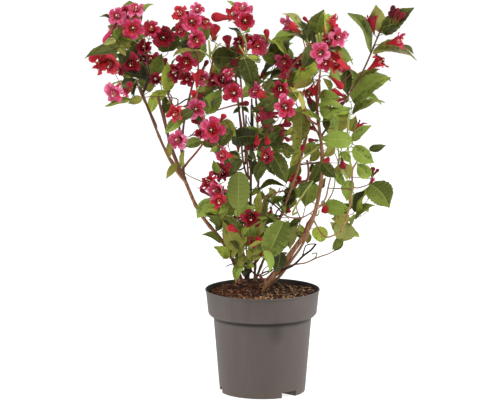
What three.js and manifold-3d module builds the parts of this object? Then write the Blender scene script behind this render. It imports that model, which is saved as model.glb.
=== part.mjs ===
// A flowering weigela of about 65 cm in its nursery pot.
//
// The pot is a thin plastic shell with a deep rim band and three drainage notches in its foot. Compost fills
// it, with the low mound of the root ball on top. The canes rise from flat cuts on the compost, fork into
// boughs, and carry the crown: uneven closed masses of leaves and of blossom, cut round the wood in them.
//
// Millimetres, +Z up. The origin is the centre of the pot's flat underside, and -Y is the plant's front.

import * as THREE from "three";
import { mergeVertices } from "three/addons/utils/BufferGeometryUtils.js";
import Module from "manifold-3d";

const wasm = await Module();
wasm.setup();

// ---- Driving dimensions ----

const GAP = 0.4; // clearance left between neighbouring pieces

const POT = {
  height: 172,
  wall: 1.4,
  footEdge: 1, // chamfer round the flat underside
  floorRadius: 71,
  neckRadius: 81.5, // top of the plain body, under the rim band
  neckHeight: 126,
  bandFootRadius: 90,
  bandHeight: 39, // the rim band, from its lower edge to the lip
  bandTopRadius: 94.2,
  lipRadius: 95,
  lipDepth: 2.6,
  lipEdge: 0.6, // chamfer round the top of the lip
  sides: 36,
};

const NOTCH = {
  bearings: [-51.5, 68.5, 188.5], // degrees from +X towards +Y
  sweep: 25, // degrees of the pot's foot that a notch takes out
  height: 10.5,
  depth: 14, // inwards from the pot's foot
  arcSteps: 4,
};

const COMPOST_TOP = 166;
const MOUND = { x: -14, y: 42, topRadius: 32, footRadius: 41, height: 6, sunk: 5, sides: 14 };

// A cane or bough runs from its foot to its tip. thick is its thickness at each end.
const LIMB = {
  sides: 6,
  step: 36, // length of wood between one ring of vertices and the next
};

// Canes stand in the compost, so the first point has no height of its own.
const CANES = {
  cane_right: {
    thick: [7.4, 5.2],
    through: [[0, -6], [32, -24, 216], [79, -40, 287], [98, -42, 385], [94, -40, 432]],
  },
  cane_left: {
    thick: [5.6, 4.8],
    through: [[-33, 49], [-59, 26, 235], [-104, -10, 302], [-129, -30, 362]],
  },
  cane_middle: {
    thick: [4.6, 3.8],
    through: [[-24, 55], [-21, 42, 250], [-19, 28, 369]],
  },
  cane_centre: {
    thick: [4.4, 3],
    through: [[-13, 53], [27, 25, 281], [58, -12, 374], [74, -20, 445], [67, -20, 486]],
  },
  cane_back_middle: {
    thick: [4.4, 3],
    through: [[-13, 66], [-8, 122, 287], [-6, 148, 375], [-12, 158, 495]],
  },
  cane_back_right: {
    thick: [4.6, 3],
    through: [[4, 60], [36, 86, 203], [87, 120, 279], [100, 138, 380], [90, 150, 482]],
  },
};

// Boughs start where a cane forks.
const LEFT_FORK = [-129, -30, 362];
const MIDDLE_FORK = [-19, 28, 369];
const RIGHT_FORK = [94, -40, 430];
const LOW_NODE = [82, -40, 295];
const LOW_BEND = [128, -60, 278];
const BOUGHS = {
  bough_left_outer: {
    thick: [4, 3],
    through: [LEFT_FORK, [-155, -32, 400], [-184, -34, 470], [-199, -30, 512]],
  },
  bough_left_middle: {
    thick: [3.6, 2.8],
    through: [LEFT_FORK, [-149, -22, 406], [-164, -16, 480]],
  },
  bough_back_left: {
    thick: [3.4, 2.6],
    through: [LEFT_FORK, [-135, 30, 402], [-142, 95, 442], [-164, 130, 492]],
  },
  bough_left_inner: {
    thick: [3.2, 2.6],
    through: [LEFT_FORK, [-130, -42, 440], [-114, -34, 518]],
  },
  bough_middle_left: {
    thick: [3.2, 2.4],
    through: [MIDDLE_FORK, [-34, 16, 435], [-44, 0, 533], [-40, -3, 598]],
  },
  bough_middle_right: {
    thick: [3, 2.4],
    through: [MIDDLE_FORK, [-17, 5, 440], [-18, -30, 492]],
  },
  bough_right_inner: {
    thick: [3.2, 2.4],
    through: [RIGHT_FORK, [74, -33, 465], [62, -24, 503]],
  },
  bough_right_upper: {
    thick: [3.8, 2.6],
    through: [RIGHT_FORK, [88, -42, 480], [94, -44, 545]],
  },
  bough_tip: {
    thick: [3.4, 2.2],
    through: [RIGHT_FORK, [126, -16, 474], [162, 0, 530], [194, 3, 604]],
  },
  shoot_right_low: {
    thick: [3, 2.8],
    through: [LOW_NODE, [103, -55, 268], LOW_BEND],
  },
  shoot_right_outer: {
    thick: [2.8, 2.4],
    through: [LOW_BEND, [143, -58, 325], [146, -56, 378]],
  },
};

// A mass of the crown is an uneven ball. Its tips are the leaf or petal ends that stand out of it.
const MASS = {
  fineWidth: 100, // a mass wider than this is built of finer triangles
  lump: 0.05, // unevenness, as a share of the radius
  lumpsRound: [5, 6, 5], // how closely the lumps follow each other along X, Y and Z
  lumpShift: [1, 2.1, -1.3], // moves the lumps of each mass on by its number
  ragged: 0.16, // how far every raggedStep-th vertex stands out, as leaves do
  raggedStep: 3,
  tipShare: 0.45, // how far the vertices round a tip are drawn out towards it
  tipSharpness: 12,
};

// Masses are placed by their middle, and sized by their width, depth and height.
const LEAF_MASSES = {
  leaves_left_tip: { at: [-252, -60, 561], size: [55, 76, 60], tips: [[-288, -70, 568]] },
  leaves_left_inner: { at: [-202, 25, 533], size: [66, 92, 73], tips: [] },
  leaves_left_middle: { at: [-164, -15, 515], size: [45, 50, 99], tips: [[-182, -20, 466]] },
  leaves_right_centre: { at: [30, 35, 549], size: [63, 96, 80], tips: [] },
  leaves_centre_dark: { at: [-4, -95, 420], size: [95, 96, 98], tips: [[-9, -95, 365], [39, -95, 358]] },
  leaves_right_upper: { at: [93, -25, 517], size: [83, 96, 69], tips: [] },
  leaves_tip_left: { at: [164, 0, 595], size: [36, 40, 66], tips: [[138, 0, 629]] },
  leaves_tip_right: { at: [213, 0, 577], size: [62, 50, 36], tips: [[253, 0, 554], [224, 0, 597]] },
  leaves_right_shoulder: { at: [162, 25, 495], size: [75, 92, 76], tips: [[212, 30, 523], [199, 25, 486]] },
  leaves_right_middle: { at: [93, -35, 453], size: [98, 92, 62], tips: [] },
  leaves_right_bright: {
    at: [135, -105, 412],
    size: [86, 92, 78],
    tips: [[174, -100, 458], [198, -100, 425]],
  },
  leaves_right_low: {
    at: [163, -20, 330],
    size: [78, 84, 60],
    tips: [[211, -20, 347], [209, -20, 310], [199, -20, 378]],
  },
  leaves_right_bottom: { at: [131, 5, 284], size: [66, 84, 77], tips: [[112, 5, 232], [180, 5, 253]] },
  leaves_right_inner: { at: [67, 35, 359], size: [69, 84, 101], tips: [] },
  leaves_low_left: { at: [-52, -55, 288], size: [101, 96, 76], tips: [[-109, -60, 297], [-99, -60, 274]] },
  leaves_foot: { at: [-39, 0, 210], size: [76, 70, 61], tips: [[-77, -10, 240]] },
  leaf_front: { at: [23, -125, 280], size: [48, 44, 62], tips: [[18, -125, 223]] },
  leaves_low_right: { at: [32, 25, 301], size: [99, 88, 91], tips: [[108, 5, 256]] },
  leaves_back_left: { at: [-183, 130, 518], size: [102, 96, 95], tips: [] },
  leaves_back_upper_right: { at: [88, 155, 524], size: [94, 96, 106], tips: [] },
  leaves_back_middle: { at: [1, 155, 413], size: [105, 96, 110], tips: [] },
  leaves_back_right: { at: [118, 140, 422], size: [101, 96, 109], tips: [] },
  leaves_back_low: { at: [1, 115, 299], size: [125, 92, 103], tips: [] },
  leaves_back_low_right: { at: [135, 115, 302], size: [81, 84, 103], tips: [] },
};
const BLOSSOM_MASSES = {
  bloom_left_top: { at: [-217, -45, 618], size: [70, 92, 66], tips: [[-179, -40, 649], [-264, -40, 627]] },
  bloom_left_shoulder: { at: [-168, 20, 591], size: [59, 88, 54], tips: [] },
  bloom_left_low: { at: [-221, -100, 508], size: [68, 70, 45], tips: [[-253, -105, 488]] },
  bloom_upper_left: { at: [-108, -25, 609], size: [83, 104, 75], tips: [[-149, -30, 631], [-128, -30, 650]] },
  bloom_middle_left: { at: [-116, -40, 539], size: [80, 96, 62], tips: [] },
  bloom_inner_left: { at: [-116, -110, 468], size: [79, 80, 90], tips: [[-157, -110, 443]] },
  bloom_centre_left: { at: [-69, -120, 438], size: [64, 84, 81], tips: [[-61, -120, 480]] },
  bloom_top_centre: { at: [-45, -5, 619], size: [69, 92, 60], tips: [[-89, 0, 652], [-11, 0, 607]] },
  bloom_centre_upper: { at: [-40, 5, 562], size: [105, 96, 59], tips: [[6, 15, 604]] },
  bloom_centre_middle: { at: [-39, -70, 513], size: [87, 90, 68], tips: [[-79, -75, 470]] },
  bloom_right_centre: { at: [16, -130, 498], size: [86, 76, 55], tips: [] },
  bloom_right_top: { at: [71, 15, 600], size: [72, 92, 59], tips: [[35, 15, 630], [102, 15, 635]] },
  bloom_right_upper: { at: [105, -75, 585], size: [59, 84, 100], tips: [[106, -70, 637], [146, -80, 559]] },
  bloom_tip_top: {
    at: [203, 5, 618],
    size: [75, 60, 46],
    tips: [[247, 10, 637], [183, 0, 644], [217, 0, 644]],
  },
  bloom_low_left: { at: [-58, -120, 362], size: [77, 76, 78], tips: [[-99, -120, 377]] },
  bloom_back_upper_left: { at: [-99, 155, 541], size: [88, 96, 105], tips: [] },
  bloom_back_upper: { at: [-14, 165, 535], size: [95, 96, 116], tips: [] },
};

// ---- Materials ----

const PLASTIC = { color: 0x69615d, roughness: 0.55, metalness: 0 };
const CHIPS = { color: 0x4b2f20, roughness: 0.95, metalness: 0 };
const BARK = { color: 0x6e4b37, roughness: 0.8, metalness: 0 };
const LEAF = { color: 0x556e28, roughness: 0.6, metalness: 0 };
const PETAL = { color: 0xb0285a, roughness: 0.6, metalness: 0 };

// ---- Solids ----

const WELD = 1e-4; // vertices closer than this are one

// Shares the vertices of a geometry, and drops the triangles that this closes up.
function welded(geometry) {
  geometry.deleteAttribute("normal");
  geometry.deleteAttribute("uv");
  const merged = mergeVertices(geometry, WELD);
  const kept = [];
  const index = merged.index.array;
  for (let i = 0; i < index.length; i += 3) {
    const [a, b, c] = index.slice(i, i + 3);
    if (a !== b && b !== c && c !== a) kept.push(a, b, c);
  }
  merged.setIndex(kept);
  return merged;
}

function solidOf(geometry) {
  const vertProperties = Float32Array.from(geometry.attributes.position.array);
  const triVerts = Uint32Array.from(geometry.index.array);
  return new wasm.Manifold(new wasm.Mesh({ numProp: 3, vertProperties, triVerts }));
}

function geometryOf(solid) {
  const mesh = solid.getMesh();
  const geometry = new THREE.BufferGeometry();
  geometry.setAttribute("position", new THREE.BufferAttribute(mesh.vertProperties, 3));
  geometry.setIndex(new THREE.BufferAttribute(mesh.triVerts, 1));
  geometry.computeVertexNormals();
  return geometry;
}

// Moves every vertex out along its normal.
function grown(geometry, distance) {
  const fat = geometry.clone();
  fat.computeVertexNormals();
  const { position, normal } = fat.attributes;
  const vertex = new THREE.Vector3();
  const outwards = new THREE.Vector3();
  for (let i = 0; i < position.count; i++) {
    vertex.fromBufferAttribute(position, i);
    outwards.fromBufferAttribute(normal, i);
    vertex.addScaledVector(outwards, distance);
    position.setXYZ(i, ...vertex);
  }
  return fat;
}

// A solid turned round the Z axis from [radius, height] pairs that start and end on the axis.
function turned(profile, sides) {
  const outline = profile.map(([radius, height]) => new THREE.Vector2(radius, height));
  const lathe = new THREE.LatheGeometry(outline, sides);
  lathe.rotateX(Math.PI / 2);
  return welded(lathe);
}

// A block that follows the pot's foot: a sector of a ring, from bottom to top.
function ringSector(inner, outer, bearing, sweep, bottom, top) {
  const from = THREE.MathUtils.degToRad(bearing - sweep / 2);
  const to = THREE.MathUtils.degToRad(bearing + sweep / 2);
  const shape = new THREE.Shape();
  shape.absarc(0, 0, outer, from, to, false);
  shape.absarc(0, 0, inner, to, from, true);
  const block = new THREE.ExtrudeGeometry(shape, {
    depth: top - bottom,
    bevelEnabled: false,
    curveSegments: NOTCH.arcSteps,
  });
  block.translate(0, 0, bottom);
  return welded(block);
}

// A closed tube that tapers along a smooth curve, with a level foot where it stands in the compost.
function limb({ thick, through }, levelFoot) {
  const points = through.map((point) => new THREE.Vector3(...point));
  const curve = new THREE.CatmullRomCurve3(points, false, "centripetal");
  const steps = Math.ceil(curve.getLength() / LIMB.step);
  const frames = curve.computeFrenetFrames(steps, false);
  const positions = [];
  const index = [];
  for (let ring = 0; ring <= steps; ring++) {
    const centre = curve.getPointAt(ring / steps);
    const radius = THREE.MathUtils.lerp(thick[0], thick[1], ring / steps) / 2;
    for (let side = 0; side < LIMB.sides; side++) {
      const turn = (2 * Math.PI * side) / LIMB.sides;
      const vertex = centre.clone();
      vertex.addScaledVector(frames.normals[ring], radius * Math.cos(turn));
      vertex.addScaledVector(frames.binormals[ring], radius * Math.sin(turn));
      if (levelFoot && ring === 0) vertex.z = centre.z;
      positions.push(...vertex);
      if (ring === steps) continue;
      const here = ring * LIMB.sides + side;
      const next = ring * LIMB.sides + ((side + 1) % LIMB.sides);
      index.push(here, next, next + LIMB.sides);
      index.push(here, next + LIMB.sides, here + LIMB.sides);
    }
  }
  const last = steps * LIMB.sides;
  for (let side = 1; side < LIMB.sides - 1; side++) {
    index.push(0, side + 1, side);
    index.push(last, last + side, last + side + 1);
  }
  const geometry = new THREE.BufferGeometry();
  geometry.setAttribute("position", new THREE.Float32BufferAttribute(positions, 3));
  geometry.setIndex(index);
  return geometry;
}

// How far out a mass reaches along a way from its middle, where 1 is a smooth ball.
function lumpy(way, number) {
  const waves = way.toArray().map((along, axis) => {
    return Math.sin(MASS.lumpsRound[axis] * along + MASS.lumpShift[axis] * number);
  });
  return 1 + MASS.lump * (waves[0] + waves[1] + waves[2]);
}

// An uneven ball of foliage. Its lumps differ by its number, and its tips draw out the vertices near them.
function mass({ at, size, tips }, number) {
  const middle = new THREE.Vector3(...at);
  const half = new THREE.Vector3(...size).multiplyScalar(0.5);
  const geometry = welded(new THREE.IcosahedronGeometry(1, size[0] > MASS.fineWidth ? 2 : 1));
  const position = geometry.attributes.position;
  const vertices = [];
  for (let i = 0; i < position.count; i++) {
    const way = new THREE.Vector3().fromBufferAttribute(position, i);
    const standsOut = i % MASS.raggedStep === 0 ? MASS.ragged : 0;
    vertices.push(way.clone().multiplyScalar(lumpy(way, number) + standsOut));
  }
  const box = new THREE.Box3().setFromPoints(vertices);
  const scale = half.clone().multiplyScalar(2).divide(box.getSize(new THREE.Vector3()));
  const shift = box.getCenter(new THREE.Vector3());
  for (const vertex of vertices) vertex.sub(shift).multiply(scale).add(middle);
  for (const tip of tips.map((point) => new THREE.Vector3(...point))) {
    const bearing = tip.clone().sub(middle).divide(half).normalize();
    const reach = (vertex) => vertex.clone().sub(middle).divide(half).normalize().dot(bearing);
    const nearest = vertices.reduce((best, vertex) => (reach(vertex) > reach(best) ? vertex : best));
    for (const vertex of vertices) {
      const drawn = MASS.tipShare * Math.max(0, reach(vertex)) ** MASS.tipSharpness;
      vertex.lerp(tip, vertex === nearest ? 1 : drawn);
    }
  }
  vertices.forEach((vertex, i) => position.setXYZ(i, ...vertex));
  return geometry;
}

// The largest body left of a solid after its neighbours are cut from it.
function cutClear(solid, neighbours) {
  let rest = solid;
  for (const neighbour of neighbours) rest = rest.subtract(neighbour);
  return rest.decompose().reduce((best, body) => (body.volume() > best.volume() ? body : best));
}

// ---- The pot and its compost ----

const bandFoot = POT.height - POT.bandHeight;
const outside = turned(
  [
    [0, 0],
    [POT.floorRadius - POT.footEdge, 0],
    [POT.floorRadius, POT.footEdge],
    [POT.neckRadius, POT.neckHeight],
    [POT.bandFootRadius, bandFoot],
    [POT.bandTopRadius, POT.height - POT.lipDepth],
    [POT.lipRadius, POT.height - POT.lipDepth],
    [POT.lipRadius, POT.height - POT.lipEdge],
    [POT.lipRadius - POT.lipEdge, POT.height],
    [0, POT.height],
  ],
  POT.sides,
);

// The space inside the pot up to a level, drawn in from the walls and the floor by an inset.
function inside(level, inset) {
  const away = POT.wall + inset;
  const slope = (POT.bandTopRadius - POT.bandFootRadius) / POT.bandHeight;
  return turned(
    [
      [0, away],
      [POT.floorRadius - away, away],
      [POT.neckRadius - away, POT.neckHeight],
      [POT.bandFootRadius - away, bandFoot],
      [POT.bandFootRadius - away + slope * (level - bandFoot), level],
      [0, level],
    ],
    POT.sides,
  );
}

// The drainage notches as blocks, made larger by a clearance on every side.
function notchBlocks(clearance) {
  const spread = THREE.MathUtils.radToDeg((2 * clearance) / POT.floorRadius);
  const inner = POT.floorRadius - NOTCH.depth - clearance;
  const top = NOTCH.height + clearance;
  return NOTCH.bearings.map((bearing) => {
    return solidOf(ringSector(inner, POT.lipRadius, bearing, NOTCH.sweep + spread, -POT.footEdge, top));
  });
}

function potSolid() {
  const shell = solidOf(outside).subtract(solidOf(inside(POT.height + POT.lipEdge, 0)));
  const hoods = notchBlocks(POT.wall).map((block) => block.intersect(solidOf(outside)));
  const walled = hoods.reduce((pot, hood) => pot.add(hood), shell);
  return notchBlocks(0).reduce((pot, notch) => pot.subtract(notch), walled);
}

function compostSolid() {
  const mound = turned(
    [
      [0, COMPOST_TOP - MOUND.sunk],
      [MOUND.footRadius, COMPOST_TOP],
      [MOUND.topRadius, COMPOST_TOP + MOUND.height],
      [0, COMPOST_TOP + MOUND.height],
    ],
    MOUND.sides,
  );
  mound.translate(MOUND.x, MOUND.y, 0);
  const heaped = solidOf(inside(COMPOST_TOP, GAP)).add(solidOf(mound));
  return cutClear(heaped, notchBlocks(POT.wall + GAP));
}

// ---- The plant ----

// Height of the compost under a point of the pot.
function groundAt(x, y) {
  const onMound = Math.hypot(x - MOUND.x, y - MOUND.y) < MOUND.topRadius;
  return COMPOST_TOP + (onMound ? MOUND.height : 0);
}

const weigela = new THREE.Group();
const placed = []; // the wood and masses so far, each grown by the gap, for the next ones to be cut round

function addPiece(name, solid, look) {
  const piece = new THREE.Mesh(geometryOf(solid), new THREE.MeshStandardMaterial(look));
  piece.name = name;
  weigela.add(piece);
}

function touching(solid) {
  const own = solid.boundingBox();
  return placed.filter((other) => {
    const box = other.boundingBox();
    return [0, 1, 2].every((axis) => own.min[axis] < box.max[axis] && box.min[axis] < own.max[axis]);
  });
}

function grow(name, geometry, look) {
  const solid = solidOf(geometry);
  addPiece(name, cutClear(solid, touching(solid)), look);
  placed.push(solidOf(grown(geometry, GAP)));
}

addPiece("pot", potSolid(), PLASTIC);
addPiece("compost", compostSolid(), CHIPS);

for (const [name, { thick, through }] of Object.entries(CANES)) {
  const [[x, y], ...rest] = through;
  grow(name, limb({ thick, through: [[x, y, groundAt(x, y) + GAP], ...rest] }, true), BARK);
}
for (const [name, bough] of Object.entries(BOUGHS)) grow(name, limb(bough, false), BARK);

const leafCount = Object.keys(LEAF_MASSES).length;
Object.entries(LEAF_MASSES).forEach(([name, spray], i) => grow(name, mass(spray, i), LEAF));
Object.entries(BLOSSOM_MASSES).forEach(([name, spray], i) => grow(name, mass(spray, leafCount + i), PETAL));

export default weigela;
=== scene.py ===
"""The looks of a flowering weigela of about 65 cm in its nursery pot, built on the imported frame.

Metres, +Z up. The origin is the centre of the pot's flat underside, and -Y is the plant's front.
"""

import math
import random
from collections import namedtuple

import bmesh
import bpy
import numpy as np
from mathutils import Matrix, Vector, noise


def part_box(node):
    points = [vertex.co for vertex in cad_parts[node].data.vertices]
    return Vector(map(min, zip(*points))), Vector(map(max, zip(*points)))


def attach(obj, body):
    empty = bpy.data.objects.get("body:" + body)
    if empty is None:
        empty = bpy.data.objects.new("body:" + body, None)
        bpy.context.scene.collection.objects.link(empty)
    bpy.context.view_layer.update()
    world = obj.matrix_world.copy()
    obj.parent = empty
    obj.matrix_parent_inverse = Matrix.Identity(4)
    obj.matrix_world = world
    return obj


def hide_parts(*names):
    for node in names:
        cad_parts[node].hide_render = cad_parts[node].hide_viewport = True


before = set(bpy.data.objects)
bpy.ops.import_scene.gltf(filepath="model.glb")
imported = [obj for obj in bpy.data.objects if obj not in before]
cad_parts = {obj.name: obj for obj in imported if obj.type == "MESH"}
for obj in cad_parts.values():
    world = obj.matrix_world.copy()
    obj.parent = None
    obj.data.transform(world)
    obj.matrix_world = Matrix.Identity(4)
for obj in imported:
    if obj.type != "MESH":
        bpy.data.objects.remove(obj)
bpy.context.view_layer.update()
scene = bpy.context.scene

# ---- Stage ----
# A plain pale floor under soft studio light, seen from the front and a little above. The camera's picture
# is a sheet of 500 by 400 points, counted across and down from its top left corner.

MM = 0.001
SHEET_WIDE, SHEET_HIGH = 500, 400
EYE = np.array([-0.0207, -4.5, 1.034])
LOOK_DOWN = math.radians(9.01)
COS_DOWN, SIN_DOWN = math.cos(LOOK_DOWN), math.sin(LOOK_DOWN)
LENS, FILM = 198.9, 36
SHEET_REACH = LENS / FILM * SHEET_WIDE  # the eye's distance from the sheet, in its points
CLIP_END = 200


def colour(red, green, blue):
    """A display colour, 0 to 255 for each channel, as the linear values that a shader takes."""
    share = [channel / 255 for channel in (red, green, blue)]
    linear = [s / 12.92 if s <= 0.04045 else ((s + 0.055) / 1.055) ** 2.4 for s in share]
    return (*linear, 1)


def grey(level):
    """A linear grey, from 0 for black to 1 for white."""
    return level, level, level, 1


def from_sheet(at, depth):
    """The place at this depth, its y, that the eye sees at a point of the sheet."""
    across, down = at
    rise = (SHEET_HIGH / 2 - down) / SHEET_REACH
    ahead = depth - EYE[1]
    up = ahead * (rise * COS_DOWN - SIN_DOWN) / (COS_DOWN + rise * SIN_DOWN)
    along = ahead * COS_DOWN - up * SIN_DOWN
    right = (across - SHEET_WIDE / 2) / SHEET_REACH * along
    return np.array([EYE[0] + right, depth, EYE[2] + up])


def to_sheet(place):
    """The point of the sheet where the eye sees a place."""
    right, ahead, up = np.asarray(place) - EYE
    along = ahead * COS_DOWN - up * SIN_DOWN
    rise = (ahead * SIN_DOWN + up * COS_DOWN) / along
    return SHEET_WIDE / 2 + right / along * SHEET_REACH, SHEET_HIGH / 2 - rise * SHEET_REACH


def shown(name, data):
    """A new object in the scene."""
    made = bpy.data.objects.new(name, data)
    scene.collection.objects.link(made)
    return made


camera = shown("camera", bpy.data.cameras.new("camera"))
camera.location = EYE
camera.rotation_euler = (math.pi / 2 - LOOK_DOWN, 0, 0)
camera.data.lens = LENS
camera.data.sensor_width = FILM
camera.data.clip_end = CLIP_END
scene.camera = camera
scene.view_settings.view_transform = "Standard"

FLOOR_HALF = 60
FLOOR_LEVEL, FLOOR_ROUGHNESS, FLOOR_GLOW = 0.4, 0.9, 0.84
floor_mesh = bpy.data.meshes.new("floor")
floor_corners = [(x * FLOOR_HALF, y * FLOOR_HALF, 0) for x, y in ((-1, -1), (1, -1), (1, 1), (-1, 1))]
floor_mesh.from_pydata(floor_corners, [], [(0, 1, 2, 3)])
floor = shown("floor", floor_mesh)
floor_paint = bpy.data.materials.new("floor_paint")
floor_paint.use_nodes = True
floor_shader = floor_paint.node_tree.nodes["Principled BSDF"]
floor_shader.inputs["Base Color"].default_value = grey(FLOOR_LEVEL)
floor_shader.inputs["Roughness"].default_value = FLOOR_ROUGHNESS
floor_shader.inputs["Emission Color"].default_value = grey(1)
floor_shader.inputs["Emission Strength"].default_value = FLOOR_GLOW
floor_mesh.materials.append(floor_paint)

AIR_GLOW = 0.42
scene.world = bpy.data.worlds.new("studio_air")
scene.world.use_nodes = True
air = scene.world.node_tree.nodes["Background"]
air.inputs["Color"].default_value = grey(1)
air.inputs["Strength"].default_value = AIR_GLOW


def softbox(name, place, aim, size, watts):
    """A square studio lamp that faces a point."""
    lamp = shown(name, bpy.data.lights.new(name, "AREA"))
    lamp.data.size = size
    lamp.data.energy = watts
    lamp.location = place
    lamp.rotation_euler = (Vector(aim) - Vector(place)).to_track_quat("-Z", "Y").to_euler()


softbox("key_lamp", (1.7, -1.3, 2.9), aim=(0, 0, 0.35), size=0.9, watts=64)
softbox("left_lamp", (-2.6, -0.35, 1.3), aim=(0, 0, 0.3), size=1.2, watts=42)
softbox("right_lamp", (2.7, -0.1, 1.2), aim=(0, 0, 0.3), size=1.2, watts=26)
softbox("rear_lamp", (1.2, 2.6, 2.2), aim=(0, 0, 0.35), size=1.4, watts=30)

# ---- Pot ----
# A nursery pot, one thin moulding of matt grey plastic: a tapered body under a deep rim band with a rolled
# lip, and three drainage notches round its foot.

NOISE_ROUGHNESS = 0.55


class Value:
    """One output in a material. Python's operators on it add Math nodes."""

    def __init__(self, finish, socket):
        self.finish = finish
        self.socket = socket

    def math(self, operation, first, second):
        return self.finish.node("ShaderNodeMath", {"operation": operation}, {0: first, 1: second})

    def __add__(self, other):
        return self.math("ADD", self, other)

    def __rsub__(self, other):
        return self.math("SUBTRACT", other, self)

    def __mul__(self, other):
        return self.math("MULTIPLY", self, other)

    __radd__ = __add__
    __rmul__ = __mul__


class Finish:
    """A material, made of one Principled shader and the nodes that feed it."""

    def __init__(self, name, **constants):
        self.material = bpy.data.materials.new(name)
        self.material.use_nodes = True
        self.tree = self.material.node_tree
        self.shader = self.tree.nodes["Principled BSDF"]
        for socket, value in constants.items():
            self.feed(socket.replace("_", " "), value)

    def feed(self, socket, value, node=None):
        """Sets or links a socket of a node, which is the shader unless another is given."""
        target = (node or self.shader).inputs[socket]
        if isinstance(value, Value):
            self.tree.links.new(value.socket, target)
        else:
            target.default_value = value

    def node(self, kind, settings, sockets, output=0):
        """Adds a node by its settings, the stops of a colour ramp among them, and its inputs."""
        made = self.tree.nodes.new(kind)
        for setting, value in settings.items():
            if setting != "stops":
                setattr(made, setting, value)
        for place, (position, tint) in enumerate(settings.get("stops", [])):
            stops = made.color_ramp.elements
            stop = stops[place] if place < len(stops) else stops.new(position)
            stop.position = position
            stop.color = tint
        for socket, value in sockets.items():
            self.feed(socket, value, made)
        return Value(self, made.outputs[output])

    def place(self, scale=(1, 1, 1)):
        """The place on the object, stretched by a scale for each axis."""
        where = self.node("ShaderNodeTexCoord", {}, {}, "Object")
        return self.node("ShaderNodeVectorMath", {"operation": "MULTIPLY"}, {0: where, 1: scale})

    def height(self):
        """How high a point of the object lies, in metres."""
        return self.node("ShaderNodeSeparateXYZ", {}, {0: self.place()}, "Z")

    def noise(self, where, scale, detail=3):
        sockets = {"Vector": where, "Scale": scale, "Detail": detail, "Roughness": NOISE_ROUGHNESS}
        return self.node("ShaderNodeTexNoise", {}, sockets, "Fac")

    def ramp(self, value, *stops):
        return self.node("ShaderNodeValToRGB", {"stops": stops}, {"Fac": value}, "Color")

    def mask(self, value, low, high):
        """One stretch of a pattern, from low to high, turned into a mask from 0 to 1."""
        return self.ramp(value, (low, grey(0)), (high, grey(1)))

    def mix(self, share, first, second):
        return self.node("ShaderNodeMix", {"data_type": "RGBA"}, {0: share, 6: first, 7: second}, 2)

    def bump(self, height, strength, distance):
        sockets = {"Height": height, "Strength": strength, "Distance": distance}
        self.feed("Normal", self.node("ShaderNodeBump", {}, sockets, "Normal"))


POT_HIGH = 0.172
POT_GREY = colour(86, 78, 74)
POT_LIGHT = colour(93, 85, 81)
POT_BROWN = colour(84, 75, 69)
POT_SHADE = colour(18, 14, 12)
POT_INSIDE_SHADE_DARK = colour(54, 49, 46)
POT_INSIDE_SHADE_LIGHT = colour(74, 69, 66)
POT_SOIL = colour(96, 76, 58)
# The painted shade line in the corner under the rim band, and the soiled foot, as shares of the pot's
# height.
PAINTED_SHADE_FROM, PAINTED_SHADE_LOW, PAINTED_SHADE_HIGH, PAINTED_SHADE_TO = 0.702, 0.731, 0.746, 0.762
SOILED_TO = 0.16
# A painted shadow of the rim band on the wall under it, front right of the middle: how the wall is scaled
# for it, its middle there, its radius.
PAINTED_SHADOW_SCALE, PAINTED_SHADOW_AT, PAINTED_SHADOW_RADIUS = (1, 0.3, 0.7), (0.0225, -0.026, 0.079), 0.018


def pot_plastic():
    """Matt warm grey, with faint upright flow marks from the mould, a fine grain, soil at the foot, and a
    painted shade line and a painted shadow under the rim band.
    """
    finish = Finish("pot_plastic", Specular_IOR_Level=0.3)
    flow = finish.noise(finish.place((1, 1, 0.1)), scale=85)
    cloud = finish.noise(finish.place((1, 1, 0.6)), scale=14)
    grain = finish.noise(finish.place(), scale=1400, detail=2)
    streaked = finish.mix(finish.mask(flow, 0.35, 0.7), POT_GREY, POT_LIGHT)
    warm = finish.mix(finish.mask(cloud, 0.4, 0.75), streaked, POT_BROWN)
    level = finish.height() * (1 / POT_HIGH)
    # painted shade: a dark line all round the corner under the rim band
    painted_shade_line = finish.ramp(
        level, (PAINTED_SHADE_FROM, grey(0)), (PAINTED_SHADE_LOW, grey(1)), (PAINTED_SHADE_HIGH, grey(0.85)), (PAINTED_SHADE_TO, grey(0))
    )
    soiled = finish.ramp(level, (0, grey(0.5)), (SOILED_TO, grey(0)))
    warm = finish.mix(soiled * cloud, warm, POT_SOIL)
    # painted shadow of the rim band, a soft dark patch on the front right under it
    off = finish.node(
        "ShaderNodeVectorMath",
        {"operation": "DISTANCE"},
        {0: finish.place(PAINTED_SHADOW_SCALE), 1: PAINTED_SHADOW_AT},
        "Value",
    )
    painted_shadow = finish.ramp(off * (1 / PAINTED_SHADOW_RADIUS), (0.1, grey(0.4)), (1, grey(0)))
    warm = finish.mix(painted_shadow, warm, POT_SHADE)
    finish.feed("Base Color", finish.mix(painted_shade_line, warm, POT_SHADE))
    finish.feed("Roughness", 0.5 + 0.12 * flow)
    finish.bump(grain + 0.5 * flow, strength=0.12, distance=0.0004)
    return finish.material


def pot_inside():
    """The same plastic, darker: painted shade on the inside of the wall."""
    finish = Finish("pot_inside", Specular_IOR_Level=0.25)
    cloud = finish.noise(finish.place((1, 1, 0.6)), scale=24)
    finish.feed("Base Color", finish.mix(finish.mask(cloud, 0.35, 0.7), POT_INSIDE_SHADE_DARK, POT_INSIDE_SHADE_LIGHT))
    finish.feed("Roughness", 0.5 + 0.2 * cloud)
    return finish.material


# The inside of the wall has painted shade: a darker finish than the outside.
INSIDE_FROM = 0.05  # the height above which the faces that look inwards have the darker finish
POT_SIDES = 216

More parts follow.
